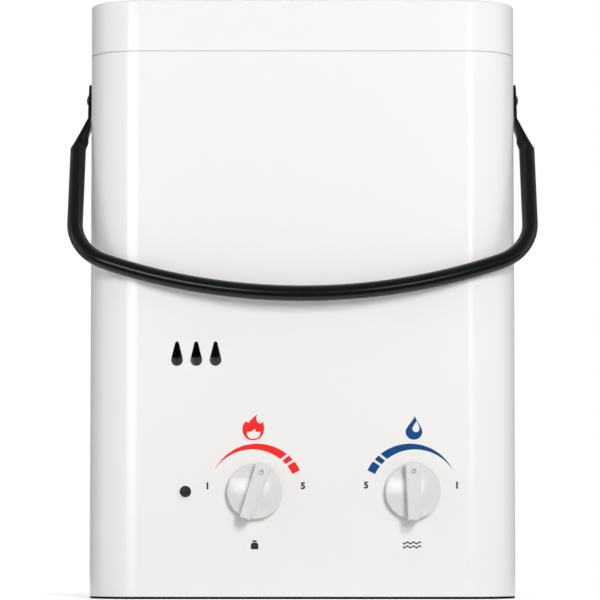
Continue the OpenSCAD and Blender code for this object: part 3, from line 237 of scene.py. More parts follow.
def add(tree, kind, inputs=None, **props):
    """A node with its properties set; inputs are plain values or sockets to link from."""
    n = tree.nodes.new("ShaderNode" + kind)
    for key, value in props.items():
        setattr(n, key, value)
    for key, value in (inputs or {}).items():
        if isinstance(value, bpy.types.NodeSocket):
            tree.links.new(value, n.inputs[key])
        else:
            n.inputs[key].default_value = value
    return n


def mix_colour(tree, fac, a, b, blend="MIX"):
    """A colour mix; fac, a and b are values or sockets."""
    n = tree.nodes.new("ShaderNodeMix")
    n.data_type, n.blend_type = "RGBA", blend
    for index, value in ((0, fac), (6, a), (7, b)):
        if isinstance(value, bpy.types.NodeSocket):
            tree.links.new(value, n.inputs[index])
        else:
            n.inputs[index].default_value = value
    return n.outputs[2]


def surface_group():
    """Fine unevenness of a finish: a broad soft waviness and a fine grain make the height, and
    the same two make a small drift of the colour's value and of the roughness."""
    g, gin, gout = new_group("surface_grain", [
        ("Color", "Color", (0.8, 0.8, 0.8, 1)), ("Float", "Roughness", 0.4),
        ("Float", "Grain size", 400.0), ("Float", "Wave size", 30.0),
        ("Float", "Colour drift", 0.03), ("Float", "Roughness drift", 0.05),
        ("Float", "Grain height", 0.1), ("Float", "Wave height", 0.1),
        ("Vector", "Stretch", (1, 1, 1)),
    ], [("Color", "Color"), ("Float", "Roughness"), ("Vector", "Normal")])
    coord = add(g, "TexCoord").outputs["Object"]
    scaled = add(g, "VectorMath", {0: coord, 1: gin.outputs["Stretch"]},
                 operation="MULTIPLY").outputs[0]
    grain = add(g, "TexNoise", {"Vector": scaled, "Scale": gin.outputs["Grain size"],
                                "Detail": 3.0})
    wave = add(g, "TexNoise", {"Vector": coord, "Scale": gin.outputs["Wave size"],
                               "Detail": 2.0})
    both = add(g, "Math", {0: grain.outputs[0], 1: wave.outputs[0]}, operation="ADD").outputs[0]
    centred = add(g, "Math", {0: both, 1: 1.0}, operation="SUBTRACT").outputs[0]
    shade = add(g, "Math", {0: centred, 1: gin.outputs["Colour drift"], 2: 1.0},
                operation="MULTIPLY_ADD").outputs[0]
    tint = add(g, "VectorMath", {0: gin.outputs["Color"], "Scale": shade},
               operation="SCALE").outputs[0]
    rough = add(g, "Math", {0: centred, 1: gin.outputs["Roughness drift"],
                            2: gin.outputs["Roughness"]},
                operation="MULTIPLY_ADD", use_clamp=True).outputs[0]
    bump1 = add(g, "Bump", {"Strength": gin.outputs["Wave height"], "Distance": 0.001,
                            "Height": wave.outputs[0]})
    bump2 = add(g, "Bump", {"Strength": gin.outputs["Grain height"], "Distance": 0.0001,
                            "Height": grain.outputs[0], "Normal": bump1.outputs[0]})
    g.links.new(tint, gout.inputs["Color"])
    g.links.new(rough, gout.inputs["Roughness"])
    g.links.new(bump2.outputs[0], gout.inputs["Normal"])
    return g


def dust_group():
    """A thin film of dust: it lies on faces that look up, in patches of noise, and lifts the
    colour towards a warm grey and the roughness towards matt."""
    g, gin, gout = new_group("settled_dust", [
        ("Color", "Color", (0.8, 0.8, 0.8, 1)), ("Float", "Roughness", 0.4),
        ("Float", "Amount", 0.15), ("Float", "Patch size", 60.0),
    ], [("Color", "Color"), ("Float", "Roughness")])
    up = add(g, "SeparateXYZ", {0: add(g, "NewGeometry").outputs["Normal"]}).outputs[2]
    facing = add(g, "MapRange", {"Value": up, "From Min": 0.2, "From Max": 1.0})
    coord = add(g, "TexCoord").outputs["Object"]
    patch = add(g, "TexNoise", {"Vector": coord, "Scale": gin.outputs["Patch size"], "Detail": 5.0})
    mask = add(g, "Math", {0: facing.outputs[0], 1: patch.outputs[0]},
               operation="MULTIPLY").outputs[0]
    mask = add(g, "Math", {0: mask, 1: gin.outputs["Amount"]}, operation="MULTIPLY").outputs[0]
    tint = mix_colour(g, mask, gin.outputs["Color"], (0.42, 0.40, 0.37, 1))
    rough = add(g, "Math", {0: mask, 1: 0.5, 2: gin.outputs["Roughness"]}, operation="MULTIPLY_ADD",
                use_clamp=True).outputs[0]
    g.links.new(tint, gout.inputs["Color"])
    g.links.new(rough, gout.inputs["Roughness"])
    return g


def heat_group():
    """Heat tint of metal near the flame: its strength falls off with height from a hot level, and
    noise breaks the edge of each band of colour."""
    g, gin, gout = new_group("heat_tint", [
        ("Color", "Color", (0.8, 0.8, 0.8, 1)), ("Float", "Hot height", 0.15),
        ("Float", "Reach", 0.08), ("Float", "Amount", 0.6),
    ], [("Color", "Color")])
    coord = add(g, "TexCoord").outputs["Object"]
    z = add(g, "SeparateXYZ", {0: coord}).outputs[2]
    away = add(g, "Math", {0: z, 1: gin.outputs["Hot height"]}, operation="SUBTRACT").outputs[0]
    away = add(g, "Math", {0: away}, operation="ABSOLUTE").outputs[0]
    away = add(g, "Math", {0: away, 1: gin.outputs["Reach"]}, operation="DIVIDE").outputs[0]
    noise = add(g, "TexNoise", {"Vector": coord, "Scale": 45.0, "Detail": 3.0}).outputs[0]
    level = add(g, "Math", {0: noise, 1: 0.5, 2: away}, operation="MULTIPLY_ADD").outputs[0]
    ramp = g.nodes.new("ShaderNodeValToRGB")
    hot, cool = ramp.color_ramp.elements
    hot.position, hot.color = 0.25, (0.10, 0.13, 0.24, 1)
    cool.position, cool.color = 1.0, (0.75, 0.62, 0.45, 1)
    ramp.color_ramp.elements.new(0.6).color = (0.30, 0.16, 0.10, 1)
    g.links.new(level, ramp.inputs[0])
    fade = add(g, "MapRange", {"Value": level, "From Min": 1.2, "From Max": 0.3}).outputs[0]
    fade = add(g, "Math", {0: fade, 1: gin.outputs["Amount"]}, operation="MULTIPLY").outputs[0]
    g.links.new(mix_colour(g, fade, gin.outputs["Color"], ramp.outputs[0], "MULTIPLY"),
                gout.inputs["Color"])
    return g


GRAIN, DUST, HEAT = surface_group(), dust_group(), heat_group()


def srgb(r, g, b):
    """An 8-bit display colour as linear RGBA."""
    v = np.array([r, g, b]) / 255
    lin = np.where(v <= 0.04045, v / 12.92, ((v + 0.055) / 1.055) ** 2.4)
    return (*lin.tolist(), 1.0)


def finish(name, colour, rough, metal=0.0, grain=(400, 30, 0.03, 0.05, 0.1, 0.05),
           stretch=(1, 1, 1), dust=0.0, heat=None, ior=1.5):
    """A finish: its colour goes through heat tint, grain and dust, where it has them, into the
    Principled shader. grain is grain size, wave size, colour drift, roughness drift, grain height
    and wave height; heat is hot height, reach and amount, in metres."""
    mat = bpy.data.materials.new(name)
    mat.use_nodes = True
    t = mat.node_tree
    bsdf = t.nodes["Principled BSDF"]
    bsdf.inputs["Metallic"].default_value = metal
    bsdf.inputs["IOR"].default_value = ior
    surf = t.nodes.new("ShaderNodeGroup")
    surf.node_tree = GRAIN
    surf.inputs["Color"].default_value = colour
    if heat:
        h = t.nodes.new("ShaderNodeGroup")
        h.node_tree = HEAT
        h.inputs["Color"].default_value = colour
        for key, value in zip(("Hot height", "Reach", "Amount"), heat):
            h.inputs[key].default_value = value
        t.links.new(h.outputs["Color"], surf.inputs["Color"])
    surf.inputs["Roughness"].default_value = rough
    surf.inputs["Stretch"].default_value = stretch
    for key, value in zip(("Grain size", "Wave size", "Colour drift", "Roughness drift",
                           "Grain height", "Wave height"), grain):
        surf.inputs[key].default_value = value
    last = surf
    if dust:
        d = t.nodes.new("ShaderNodeGroup")
        d.node_tree = DUST
        d.inputs["Amount"].default_value = dust
        t.links.new(surf.outputs["Color"], d.inputs["Color"])
        t.links.new(surf.outputs["Roughness"], d.inputs["Roughness"])
        last = d
    t.links.new(last.outputs["Color"], bsdf.inputs["Base Color"])
    t.links.new(last.outputs["Roughness"], bsdf.inputs["Roughness"])
    t.links.new(surf.outputs["Normal"], bsdf.inputs["Normal"])
    return mat


M = {
    "white_enamel": finish("white_enamel", srgb(243, 241, 239), 0.16,
                           grain=(900, 18, 0.012, 0.03, 0.05, 0.02)),
    "knob_plastic": finish("knob_plastic", srgb(225, 225, 223), 0.16, ior=1.6,
                           grain=(1500, 60, 0.012, 0.05, 0.06, 0.02)),
    # The button's ring: white plastic made whiter than the knob plastic, a painted highlight that
    # makes it read brighter than the front
    "bezel_plastic_painted_highlight": finish("bezel_plastic_painted_highlight", srgb(252, 252, 250), 0.2,
                            grain=(1500, 60, 0.01, 0.05, 0.06, 0.02)),
    "black_enamel": finish("black_enamel", srgb(19, 19, 20), 0.2, ior=1.43,
                           grain=(1400, 50, 0.15, 0.05, 0.12, 0.05), dust=0.02),
    "black_steel": finish("black_steel", srgb(22, 22, 23), 0.36, ior=1.4,
                          grain=(1600, 90, 0.2, 0.1, 0.3, 0.1), dust=0.04),
    "black_tray": finish("black_tray", srgb(8, 8, 8), 0.6, ior=1.2,
                         grain=(1800, 70, 0.18, 0.1, 0.5, 0.1)),
    "grille_steel": finish("grille_steel", srgb(96, 97, 99), 0.45, metal=0.7,
                           grain=(900, 40, 0.1, 0.1, 0.3, 0.1), dust=0.12, heat=(0.415, 0.05, 0.3)),
    "zinc_sheet": finish("zinc_sheet", srgb(176, 180, 184), 0.42, metal=0.85,
                         grain=(260, 55, 0.14, 0.16, 0.12, 0.1), dust=0.08),
    "zinc_hardware": finish("zinc_hardware", srgb(190, 190, 186), 0.34, metal=1.0,
                            grain=(1200, 120, 0.1, 0.12, 0.2, 0.08)),
    "spindle_steel": finish("spindle_steel", srgb(186, 187, 189), 0.28, metal=1.0,
                            grain=(1600, 90, 0.06, 0.12, 0.3, 0.03), stretch=(1, 0.05, 1)),
    "button_plastic": finish("button_plastic", srgb(36, 35, 34), 0.35, ior=1.4,
                             grain=(2200, 120, 0.12, 0.1, 0.3, 0.1)),
    "black_plastic": finish("black_plastic", srgb(32, 32, 33), 0.48,
                            grain=(2000, 90, 0.16, 0.1, 0.6, 0.1), dust=0.06),
    "copper": finish("copper", srgb(198, 122, 84), 0.33, metal=1.0,
                     grain=(700, 40, 0.14, 0.16, 0.15, 0.1), heat=(0.19, 0.12, 0.5)),
    "brass": finish("brass", srgb(202, 168, 98), 0.32, metal=1.0,
                    grain=(1300, 60, 0.1, 0.14, 0.2, 0.06), dust=0.05),
    "burner_steel": finish("burner_steel", srgb(160, 158, 154), 0.4, metal=0.95,
                           grain=(800, 50, 0.12, 0.14, 0.2, 0.08), heat=(0.16, 0.04, 0.8)),
    "burner_frame_steel": finish("burner_frame_steel", srgb(186, 182, 178), 0.42, metal=0.45,
                                 grain=(500, 50, 0.16, 0.14, 0.2, 0.1), heat=(0.165, 0.03, 0.5)),
    "cast_alloy": finish("cast_alloy", srgb(158, 160, 162), 0.52, metal=0.8,
                         grain=(900, 80, 0.12, 0.12, 0.9, 0.2), dust=0.08),
    "coil_paint": finish("coil_paint", srgb(36, 62, 110), 0.4,
                         grain=(1200, 70, 0.12, 0.08, 0.3, 0.1)),
    "white_ceramic": finish("white_ceramic", srgb(232, 228, 218), 0.22,
                            grain=(1500, 80, 0.05, 0.05, 0.12, 0.05)),
    "valve_rubber": finish("valve_rubber", srgb(30, 30, 31), 0.7,
                           grain=(1600, 80, 0.18, 0.08, 0.5, 0.1)),
    "filter_plastic": finish("filter_plastic", srgb(208, 212, 206), 0.45,
                             grain=(1800, 90, 0.08, 0.08, 0.4, 0.1)),
    "cell_can": finish("cell_can", srgb(166, 140, 84), 0.3, metal=0.6,
                       grain=(1200, 60, 0.1, 0.08, 0.1, 0.04)),
    "lead_rubber": finish("lead_rubber", srgb(24, 22, 22), 0.5,
                          grain=(1800, 90, 0.12, 0.08, 0.4, 0.1)),
    "loom_rubber": finish("loom_rubber", srgb(38, 38, 40), 0.55,
                          grain=(1800, 90, 0.16, 0.08, 0.5, 0.1)),
    "red_print": finish("red_print", srgb(246, 42, 40), 0.45, ior=1.25,
                        grain=(2500, 90, 0.04, 0.05, 0.1, 0.02)),
    "blue_print": finish("blue_print", srgb(12, 74, 132), 0.45, ior=1.25,
                         grain=(2500, 90, 0.05, 0.05, 0.1, 0.02)),
    "dark_print": finish("dark_print", srgb(50, 48, 46), 0.45, ior=1.25,
                         grain=(2500, 90, 0.08, 0.05, 0.1, 0.02)),
}

# Every CAD node takes the finish of the slot it came with, but for the burner frame
for name, node in nodes.items():
    for i, mat in enumerate(node.data.materials):
        own = "burner_frame_steel" if name == "burner_frame" else mat.name.split(".")[0]
        node.data.materials[i] = M[own]


# ---- Casing ----

def plan_path(rear="flange"):
    """The casing's plan from its left rear end, round the front, to its right rear end: straight
    runs, whose ends stand BEND_GAP off each bend, and true arcs between them. rear is flange
    (turned in behind), side (ends short of the rear) or closed."""
    fx, fy = SIDE_X - CORNER_R, FRONT_Y + CORNER_R
    rx, ry = SIDE_X - REAR_R, REAR_Y - REAR_R
    g = BEND_GAP
    front = [
        arc((-fx, fy), CORNER_R, 180, 270, 33),
        straight((-fx + g, FRONT_Y), (fx - g, FRONT_Y), (0, -1)),
        arc((fx, fy), CORNER_R, 270, 360, 33),
    ]
    if rear == "side":
        end = REAR_Y - 12
        return path([straight((-SIDE_X, end), (-SIDE_X, fy + g), (-1, 0))] + front
                    + [straight((SIDE_X, fy + g), (SIDE_X, end), (1, 0))])
    left = [arc((-rx, ry), REAR_R, 90, 180, 13),
            straight((-SIDE_X, ry - g), (-SIDE_X, fy + g), (-1, 0))]
    right = [straight((SIDE_X, fy + g), (SIDE_X, ry - g), (1, 0)),
             arc((rx, ry), REAR_R, 0, 90, 13)]
    if rear == "flange":
        x = SIDE_X - FLANGE
        left = [straight((-x, REAR_Y), (-rx + g, REAR_Y), (0, 1))] + left
        right = right + [straight((rx - g, REAR_Y), (x, REAR_Y), (0, 1))]
    else:
        right = right + [straight((rx - g, REAR_Y), (-rx + g, REAR_Y), (0, 1))]
    return path(left + front + right)


def cover_holes():
    """Outlines and normals of the holes in the cover's front: three drops, two spindle holes and
    the button's hole."""
    p, n = drop_outline(VIEW_R, VIEW_TIP, VIEW_L)
    holes = [(p + [VIEW_X + i * VIEW_PITCH, VIEW_Z], n) for i in (-1, 0, 1)]
    holes += [circle_outline(x, CONTROL_Z, SPINDLE_HOLE_R) for x in (GAS_X, WATER_X)]
    return holes + [circle_outline(BUTTON_X, CONTROL_Z, BUTTON_HOLE_R)]


def front_cover():
    """The wrapped sheet: a rounded sheet section carried along the open plan path, with the two
    flat faces of its front filled round the holes, and a rounded wall in each hole."""
    x = SIDE_X - CORNER_R - BEND_GAP
    z0, z1 = LEDGE + SHEET_EDGE, COVER_TOP - SHEET_EDGE
    loop = box_loop(0, SHEET, LEDGE, COVER_TOP, SHEET_EDGE)
    points, faces = grid_part(sweep_plan(plan_path("flange"), loop), caps=True)
    # the front's two big quads, as wide and as high as its flat, make room for the holed ones
    flat = [len(f) == 4 and np.ptp(points[f, 0]) > x and np.ptp(points[f, 2]) > z1 / 2
            for f in faces]
    parts = [(points, [f for f, big in zip(faces, flat) if not big])]
    frame_loop = np.array([[-x, z0], [x, z0], [x, z1], [-x, z1]])
    holes = cover_holes()
    loops = [frame_loop] + [p + HOLE_EDGE * nn for p, nn in holes]
    parts += [fill_part([upright(l, FRONT_Y + depth) for l in loops]) for depth in (0.0, SHEET)]
    for p, nn in holes:
        wall = ring_hole(p, nn, SHEET, HOLE_EDGE)
        parts.append(grid_part(np.stack([wall[..., 0], FRONT_Y + wall[..., 2], wall[..., 1]], -1)))
    piece("cover_skin", parts, M["white_enamel"], "heater", ["front_cover"],
          smooth=10)


def top_cap():
    """The cap: its folded wall and roof edge carried round the closed plan path, the roof filled
    round the exhaust opening on both faces, and the lip that sits inside the cover."""
    fold = 1.6
    a = np.radians(np.linspace(8, 90, 9))
    bend = np.stack([fold - fold * np.cos(a), ROOF_Z - fold + fold * np.sin(a)], -1)
    outer = np.concatenate([[[0, SEAM_Z + 0.3], [0, ROOF_Z - fold]], bend,
                            [[fold + 0.8, ROOF_Z]]])
    inner = np.array([[fold + 0.8, ROOF_Z - SHEET], [SHEET + 0.8, ROOF_Z - SHEET],
                      [SHEET, ROOF_Z - SHEET - 0.8], [SHEET, SEAM_Z + 0.3],
                      [SHEET - 0.09, SEAM_Z + 0.09], [SHEET - 0.3, SEAM_Z], [0.3, SEAM_Z],
                      [0.09, SEAM_Z + 0.09]])
    loop = np.concatenate([outer, inner])
    plan = plan_path("closed")
    grid = sweep_plan(plan, loop)
    n = len(loop)
    points, faces = grid_part(grid, wrap_m=True)
    roof = len(outer) - 1
    m = grid.shape[0]
    drop = {tuple(sorted((i * n + roof, ((i + 1) % m) * n + roof, ((i + 1) % m) * n + roof + 1,
                          i * n + roof + 1))) for i in range(m)}
    faces = [f for f in faces if tuple(sorted(f)) not in drop]
    parts = [(points, faces)]
    w, d = EXHAUST[0] / 2, EXHAUST[1] / 2
    hole, hole_n = rounded_polygon([(-w, -d), (w, -d), (w, d), (-w, d)], [1.5] * 4)
    edge = hole + HOLE_EDGE * hole_n
    for z, ring in ((ROOF_Z, grid[:, roof]), (ROOF_Z - SHEET, grid[:, roof + 1])):
        parts.append(fill_part([ring, np.concatenate([edge, np.full((len(edge), 1), z)], 1)]))
    wall = ring_hole(hole, hole_n, SHEET, HOLE_EDGE)
    parts.append(grid_part(np.stack([wall[..., 0], wall[..., 1], ROOF_Z - wall[..., 2]], -1)))
    lip = plan_path("side")
    for out, low, high in ((1.0, -9, 4), (0.5, 2, 6)):
        loop = box_loop(out, 1.8, SEAM_Z + low, SEAM_Z + high, 0.2, 3)
        parts.append(grid_part(sweep_plan(lip, loop), caps=True))
    piece("cap_skin", parts, M["white_enamel"], "heater", ["top_cap"], smooth=12)


# ---- Handle ----

def bail_angle():
    """The bail's resting angle, where the CAD's crossbar lies against the front: the largest ratio
    of needed stand-off to length. With it, the crossbar's bow: where it starts, its radius, its
    centre and its half angle."""
    bow = BAIL_L - ARM_L
    bend_x = ARM_X - BAIL_CORNER
    bar_r = (bend_x ** 2 + bow ** 2 - BAIL_CORNER ** 2) / (2 * (bow - BAIL_CORNER))
    bar_s = BAIL_L - bar_r
    bar_a = math.atan2(bend_x, ARM_L - bar_s)
    x = np.arange(0, bar_r * math.sin(bar_a), 1.0)
    lean_r = CORNER_R + CAD_TUBE_R + 0.3
    y = REAR_Y - CORNER_R + np.sqrt(lean_r ** 2 - np.maximum(x - (SIDE_X - CORNER_R), 0) ** 2)
    rest = math.asin(float(np.max(y / (bar_s + np.sqrt(bar_r ** 2 - x ** 2)))))
    return rest, bend_x, bar_r, bar_s, bar_a


def bail():
    """The bail: a round tube along two arms, two corners and a bowed crossbar. Along each neck the
    section changes in a straight line from a flat strip to the round tube; each end is a strip
    with a rounded tip and a bore."""
    rest, bend_x, bar_r, bar_s, bar_a = bail_angle()
    turn = math.pi / 2 - bar_a
    u = np.linspace(0, 1, 41)
    low, high = -END_FLAT - NECK_L + 0.8, 0.3 - END_FLAT
    run = low - NECK_START
    s = np.concatenate([np.linspace(high, NECK_START, 4), NECK_START + u[1:] * run])
    w = np.clip((s - NECK_START) / run, 0, 1)
    neck = np.stack([np.full(len(s), ARM_X), s, 0 * s, w], -1)
    arm = np.array([[ARM_X, low - 0.5, 0, 1], [ARM_X, low - 1.8, 0, 1]])
    a = -np.linspace(0, turn, 25)
    corner = np.stack([bend_x + BAIL_CORNER * np.cos(a), BAIL_CORNER * np.sin(a) - ARM_L, a,
                       np.ones(len(a))], -1)
    b = -turn - 2 * bar_a * np.linspace(0, 1, 61)[1:31]
    bar = np.stack([bar_r * np.cos(b), bar_r * np.sin(b) - bar_s, b, np.ones(len(b))], -1)
    half = np.concatenate([neck, arm, corner, bar])
    other = half[::-1][1:].copy()
    other[:, 0] *= -1
    other[:, 2] = -np.pi - other[:, 2]
    st = np.concatenate([half, other])
    ang = 2 * np.pi * (np.arange(48) + 0.5) / 48
    c, d = np.cos(ang), np.sin(ang)
    # a superellipse of this power is the strip's rounded rectangle
    power = 14.0
    box = 1 / (np.abs(c) ** power + np.abs(d) ** power) ** (1 / power)
    flat_off = FLAT_X + END_T / 2 - ARM_X
    w = st[:, 3:4]
    # the strip's half thickness and width give way to the tube's radius along the neck; the tube
    # is 0.04 mm flatter from front to rear, which keeps it inside the CAD part's box
    out = (1 - w) * (flat_off + (END_T / 2 - 0.02) * c * box) + w * (TUBE_R * c - TUBE_IN)
    y = (1 - w) * (END_W / 2 - 0.02) * d * box + w * (TUBE_R - 0.04) * d
    # on its inner side the neck stays thick and then steps down to the tube
    out = out - 0.7 * np.exp(-((w - 0.74) / 0.16) ** 2) * np.clip(-c, 0, 1)
    # a shallow dimple on the front and rear where the strip runs out into the tube
    dent = 0.6 * np.exp(-((w - 0.93) / 0.07) ** 2) * np.exp(-((c + 0.25) / 0.22) ** 2) * (w < 1)
    y = y - np.sign(d) * dent
    x = st[:, 0:1] + out * np.cos(st[:, 2:3])
    z = st[:, 1:2] + out * np.sin(st[:, 2:3])
    pts = np.stack([x, y, z], -1)
    parts = [grid_part(pts, caps=True)]
    tip = END_W / 2
    p1, n1 = arc((0, END_OVER - tip), tip, 0, 180, 33)
    p2 = np.array([[-tip, -END_FLAT], [tip, -END_FLAT]])
    n2 = np.array([[-0.7, -0.7], [0.7, -0.7]])
    outline, norm = path([(p1, n1), (p2, n2)])
    e = 0.45
    q = np.radians(np.linspace(0, 90, 5))
    depth = np.concatenate([e - e * np.cos(q), (END_T - e + e * np.cos(q))[::-1]])
    inset = np.concatenate([e - e * np.sin(q), (e - e * np.sin(q))[::-1]])
    hole = circle_outline(0, 0, PIVOT_BORE, 40)[0]
    for side in (1, -1):
        ring = outline[None] - inset[:, None, None] * norm[None]
        x = np.broadcast_to((FLAT_X + depth)[:, None, None], ring.shape[:2] + (1,))
        strip = np.concatenate([side * x, ring[..., 0:1], ring[..., 1:2]], -1)
        parts.append(grid_part(strip))
        bore = np.stack([np.concatenate([np.full((len(hole), 1), side * xx), hole], 1)
                         for xx in (FLAT_X, FLAT_X + END_T)])
        parts += [fill_part([strip[i], bore[i]]) for i in (0, -1)]
        parts.append(grid_part(bore))
    place = Matrix.Translation((0, 0, PIVOT_Z)) @ Matrix.Rotation(-rest, 4, "X")
    parts = [placed(q, place) for q in parts]
    piece("bail_tube", parts, M["black_enamel"], "handle", ["handle_bail"])


# ---- Controls ----

def turned(prof, k=128, centre=(0, 0)):
    """A profile of (radius, height) rows turned round a vertical axis: a grid of k-sided rings."""
    th = np.arange(k) * 2 * np.pi / k
    r, z = prof[:, 0:1], prof[:, 1:2]
    return np.stack([centre[0] + r * np.cos(th), centre[1] + r * np.sin(th), z + 0 * th], -1)


def knob(name, x, turn, body, node):
    """A knob: a disc turned from a profile, its face a spherical dome that meets the rim in nearly
    a quarter round, and a tapered grip with slightly sloping sides, soft edges and a ring groove
    near its pointer end."""
    r, edge = KNOB_R, DISC_EDGE
    q = np.radians(np.linspace(0, 78, 8))
    s = np.linspace(r - edge, 0.05, 14)
    crown = DISC_H - DOME_LOW + DOME_R - math.sqrt(DOME_R ** 2 - (r - edge) ** 2)
    dome = crown - (DOME_R - np.sqrt(DOME_R ** 2 - s ** 2))
    prof = np.concatenate([
        [[SPINDLE_R, KNOB_GAP + 12], [SPINDLE_R, KNOB_GAP], [r - 0.5, KNOB_GAP],
         [r - 0.15, KNOB_GAP + 0.15], [r, KNOB_GAP + 0.5]],
        np.stack([r - edge + edge * np.cos(q), dome[0] - edge + edge * np.sin(q)], -1),
        np.stack([s[1:], dome[1:]], -1),
    ])
    parts = [grid_part(turned(prof), caps=True)]
    w0, w1, l = GRIP_NARROW / 2 - 0.25, GRIP_WIDE / 2 - 0.25, GRIP_L / 2
    top_l = l - 0.5
    top = [(top_l * math.sin(t), top_l * math.cos(t)) for t in np.linspace(0.22, -0.22, 7)]
    corner = math.sqrt(top_l ** 2 - w1 ** 2)
    corners = [(-w0, 0.6 - l), (w0, 0.6 - l), (w1, corner)] + top + [(-w1, corner)]
    outline, norm = rounded_polygon(corners, [0.7, 0.7, 0.7] + [0] * len(top) + [0.7])
    e = 0.75
    q = np.radians(np.linspace(0, 90, 8))
    z = np.concatenate([[KNOB_GAP, DISC_H - 1.4, KNOB_H - e], KNOB_H - e + e * np.sin(q[1:])])
    draft = np.interp(z, [KNOB_GAP, DISC_H - 1.4, KNOB_H], [0.5, 0.5, 0.0])
    inset = np.concatenate([[0, 0, 0], e - e * np.cos(q[1:])])
    xy = outline[None] - inset[:, None, None] * norm[None]
    wide = np.interp(outline[:, 1], [-l, l], [w0, w1])
    xy[..., 0] += draft[:, None] * (outline[:, 0] / wide)[None].clip(-1, 1)
    grip = np.concatenate([xy, np.broadcast_to(z[:, None, None], xy.shape[:2] + (1,))], -1)
    parts += [grid_part(grip), fill_part([grip[0]])]
    low = KNOB_H - MARK_DEEP
    prof = np.array([[MARK_R + 0.55, KNOB_H], [MARK_R + 0.45, low], [MARK_R - 0.35, low],
                     [MARK_R - 0.4, KNOB_H - 0.1]])
    groove = turned(prof, 32, (0, MARK_L))
    parts += [fill_part([grip[-1], groove[0]]), grid_part(groove), fill_part([groove[-1]])]
    place = (Matrix.Translation((x, FRONT_Y, CONTROL_Z)) @ Matrix.Rotation(math.pi / 2, 4, "X")
             @ Matrix.Rotation(-math.radians(turn), 4, "Z"))
    piece(name, [placed(p, place) for p in parts], M["knob_plastic"], body, [node],
          smooth=20)


def button():
    """The round button: a short cylinder along its axis with a soft rim and a shallow dome."""
    r, out, l = 3.8, 1.2, 12.0
    s = np.linspace(1, 0.02, 6) * (r - 0.4)
    prof = np.concatenate([[[r, -out + l], [r, -out + 0.4], [r - 0.12, -out + 0.12]],
                           np.stack([s, -out + 0.25 * (s / r) ** 2], -1)])
    th = np.linspace(0, 2 * np.pi, 65)[:-1]
    pts = np.stack([BUTTON_X + prof[:, None, 0] * np.cos(th),
                    FRONT_Y + np.broadcast_to(prof[:, None, 1], (len(prof), 64)),
                    CONTROL_Z + prof[:, None, 0] * np.sin(th)], -1)
    piece("button_cap", [grid_part(pts, caps=True)], M["button_plastic"], "button",
          ["power_button"], smooth=25)


def bezel():
    """The ring round the button: a soft-edged rim turned from its section, with its barrel behind
    the panel. The ring is white plastic, and its finish is made whiter than the knobs and the front
    as a painted highlight, so the ring reads brighter than the front."""
    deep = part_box("button_bezel")[1][1] * 1000 - FRONT_Y
    r, inner, barrel, tall, e = 4.9, 4.0, 4.45, 1.7, 0.35
    q = np.radians(np.linspace(0, 90, 6))
    prof = np.concatenate([
        [[inner, -deep], [barrel, -deep], [barrel, 0.0], [r, 0.0]],
        np.stack([r - e + e * np.cos(q), tall - e + e * np.sin(q)], -1),
        np.stack([inner + e - e * np.sin(q), tall - e + e * np.cos(q)], -1),
    ])
    ring = grid_part(turned(prof, 64), wrap_m=True)
    place = (Matrix.Translation((BUTTON_X, FRONT_Y, CONTROL_Z))
             @ Matrix.Rotation(math.pi / 2, 4, "X"))
    piece("bezel_ring", [placed(ring, place)], M["bezel_plastic_painted_highlight"], "heater", ["button_bezel"],
          smooth=30)


# ---- Printed marks ----

def print_patch(name, loops, material):
    """A printed mark on the front: a flat outline with its holes, a hair proud of the enamel, its
    edge running down into it."""
    faces = FRONT_Y - PRINT_OUT, FRONT_Y + PRINT_IN
    parts = [fill_part([upright(l, y) for l in loops]) for y in faces]
    parts += [grid_part(np.stack([upright(l, y) for y in faces])) for l in loops]
    piece(name, parts, material, "heater", smooth=30)


def number(name, text, x, z, high=4.9):
    """A plain number in Blender's own font, made a mesh, scaled to its height and laid on the
    front as thin print."""
    curve = bpy.data.curves.new(name, "FONT")
    curve.body, curve.extrude, curve.offset = text, 0.01, 0.045
    holder = bpy.data.objects.new(name + "_text", curve)
    bpy.context.scene.collection.objects.link(holder)
    mesh = bpy.data.meshes.new_from_object(holder)
    p = np.empty(len(mesh.vertices) * 3)
    mesh.vertices.foreach_get("co", p)
    p = p.reshape(-1, 3)
    faces = [list(f.vertices) for f in mesh.polygons]
    bpy.data.objects.remove(holder)
    bpy.data.meshes.remove(mesh)
    low, top = p.min(0), p.max(0)
    k = high / (top[1] - low[1])
    flat = (p[:, :2] - (low + top)[:2] / 2) * k
    y = np.where(p[:, 2] > 0, FRONT_Y - PRINT_OUT, FRONT_Y + PRINT_IN)
    pts = np.stack([x + flat[:, 0], y, z + flat[:, 1]], -1)
    piece(name, [(pts, faces)], M["dark_print"], "heater", smooth=30)


def scale_band(name, x, material, mirror):
    """The scale over a knob: a crescent between two circles, from a fine tip to a broad end that
    two short gaps cut into blocks. It is sampled by its angle on each circle."""
    c1, r1, c2, r2 = SCALE_OUTER[:2], SCALE_OUTER[2], SCALE_INNER[:2], SCALE_INNER[2]
    ends = [((154.4, 51.7), (148.4, 51.5)), ((48.7, 41.8), (48.4, 42.0)),
            ((38.7, 26.3), (39.0, 26.65))]
    for i, ((a0, a1), (b0, b1)) in enumerate(ends):
        n = 48 if i == 0 else 10
        outer, inner = arc(c1, r1, a0, a1, n)[0], arc(c2, r2, b0, b1, n)[0]
        if i == 0:
            inner[0] = outer[0] + [0.02, -0.03]
        loop = np.concatenate([outer, inner[::-1]])
        loop[:, 0] *= mirror
        print_patch(f"{name}_{i}", [loop + [x, CONTROL_Z]], material)


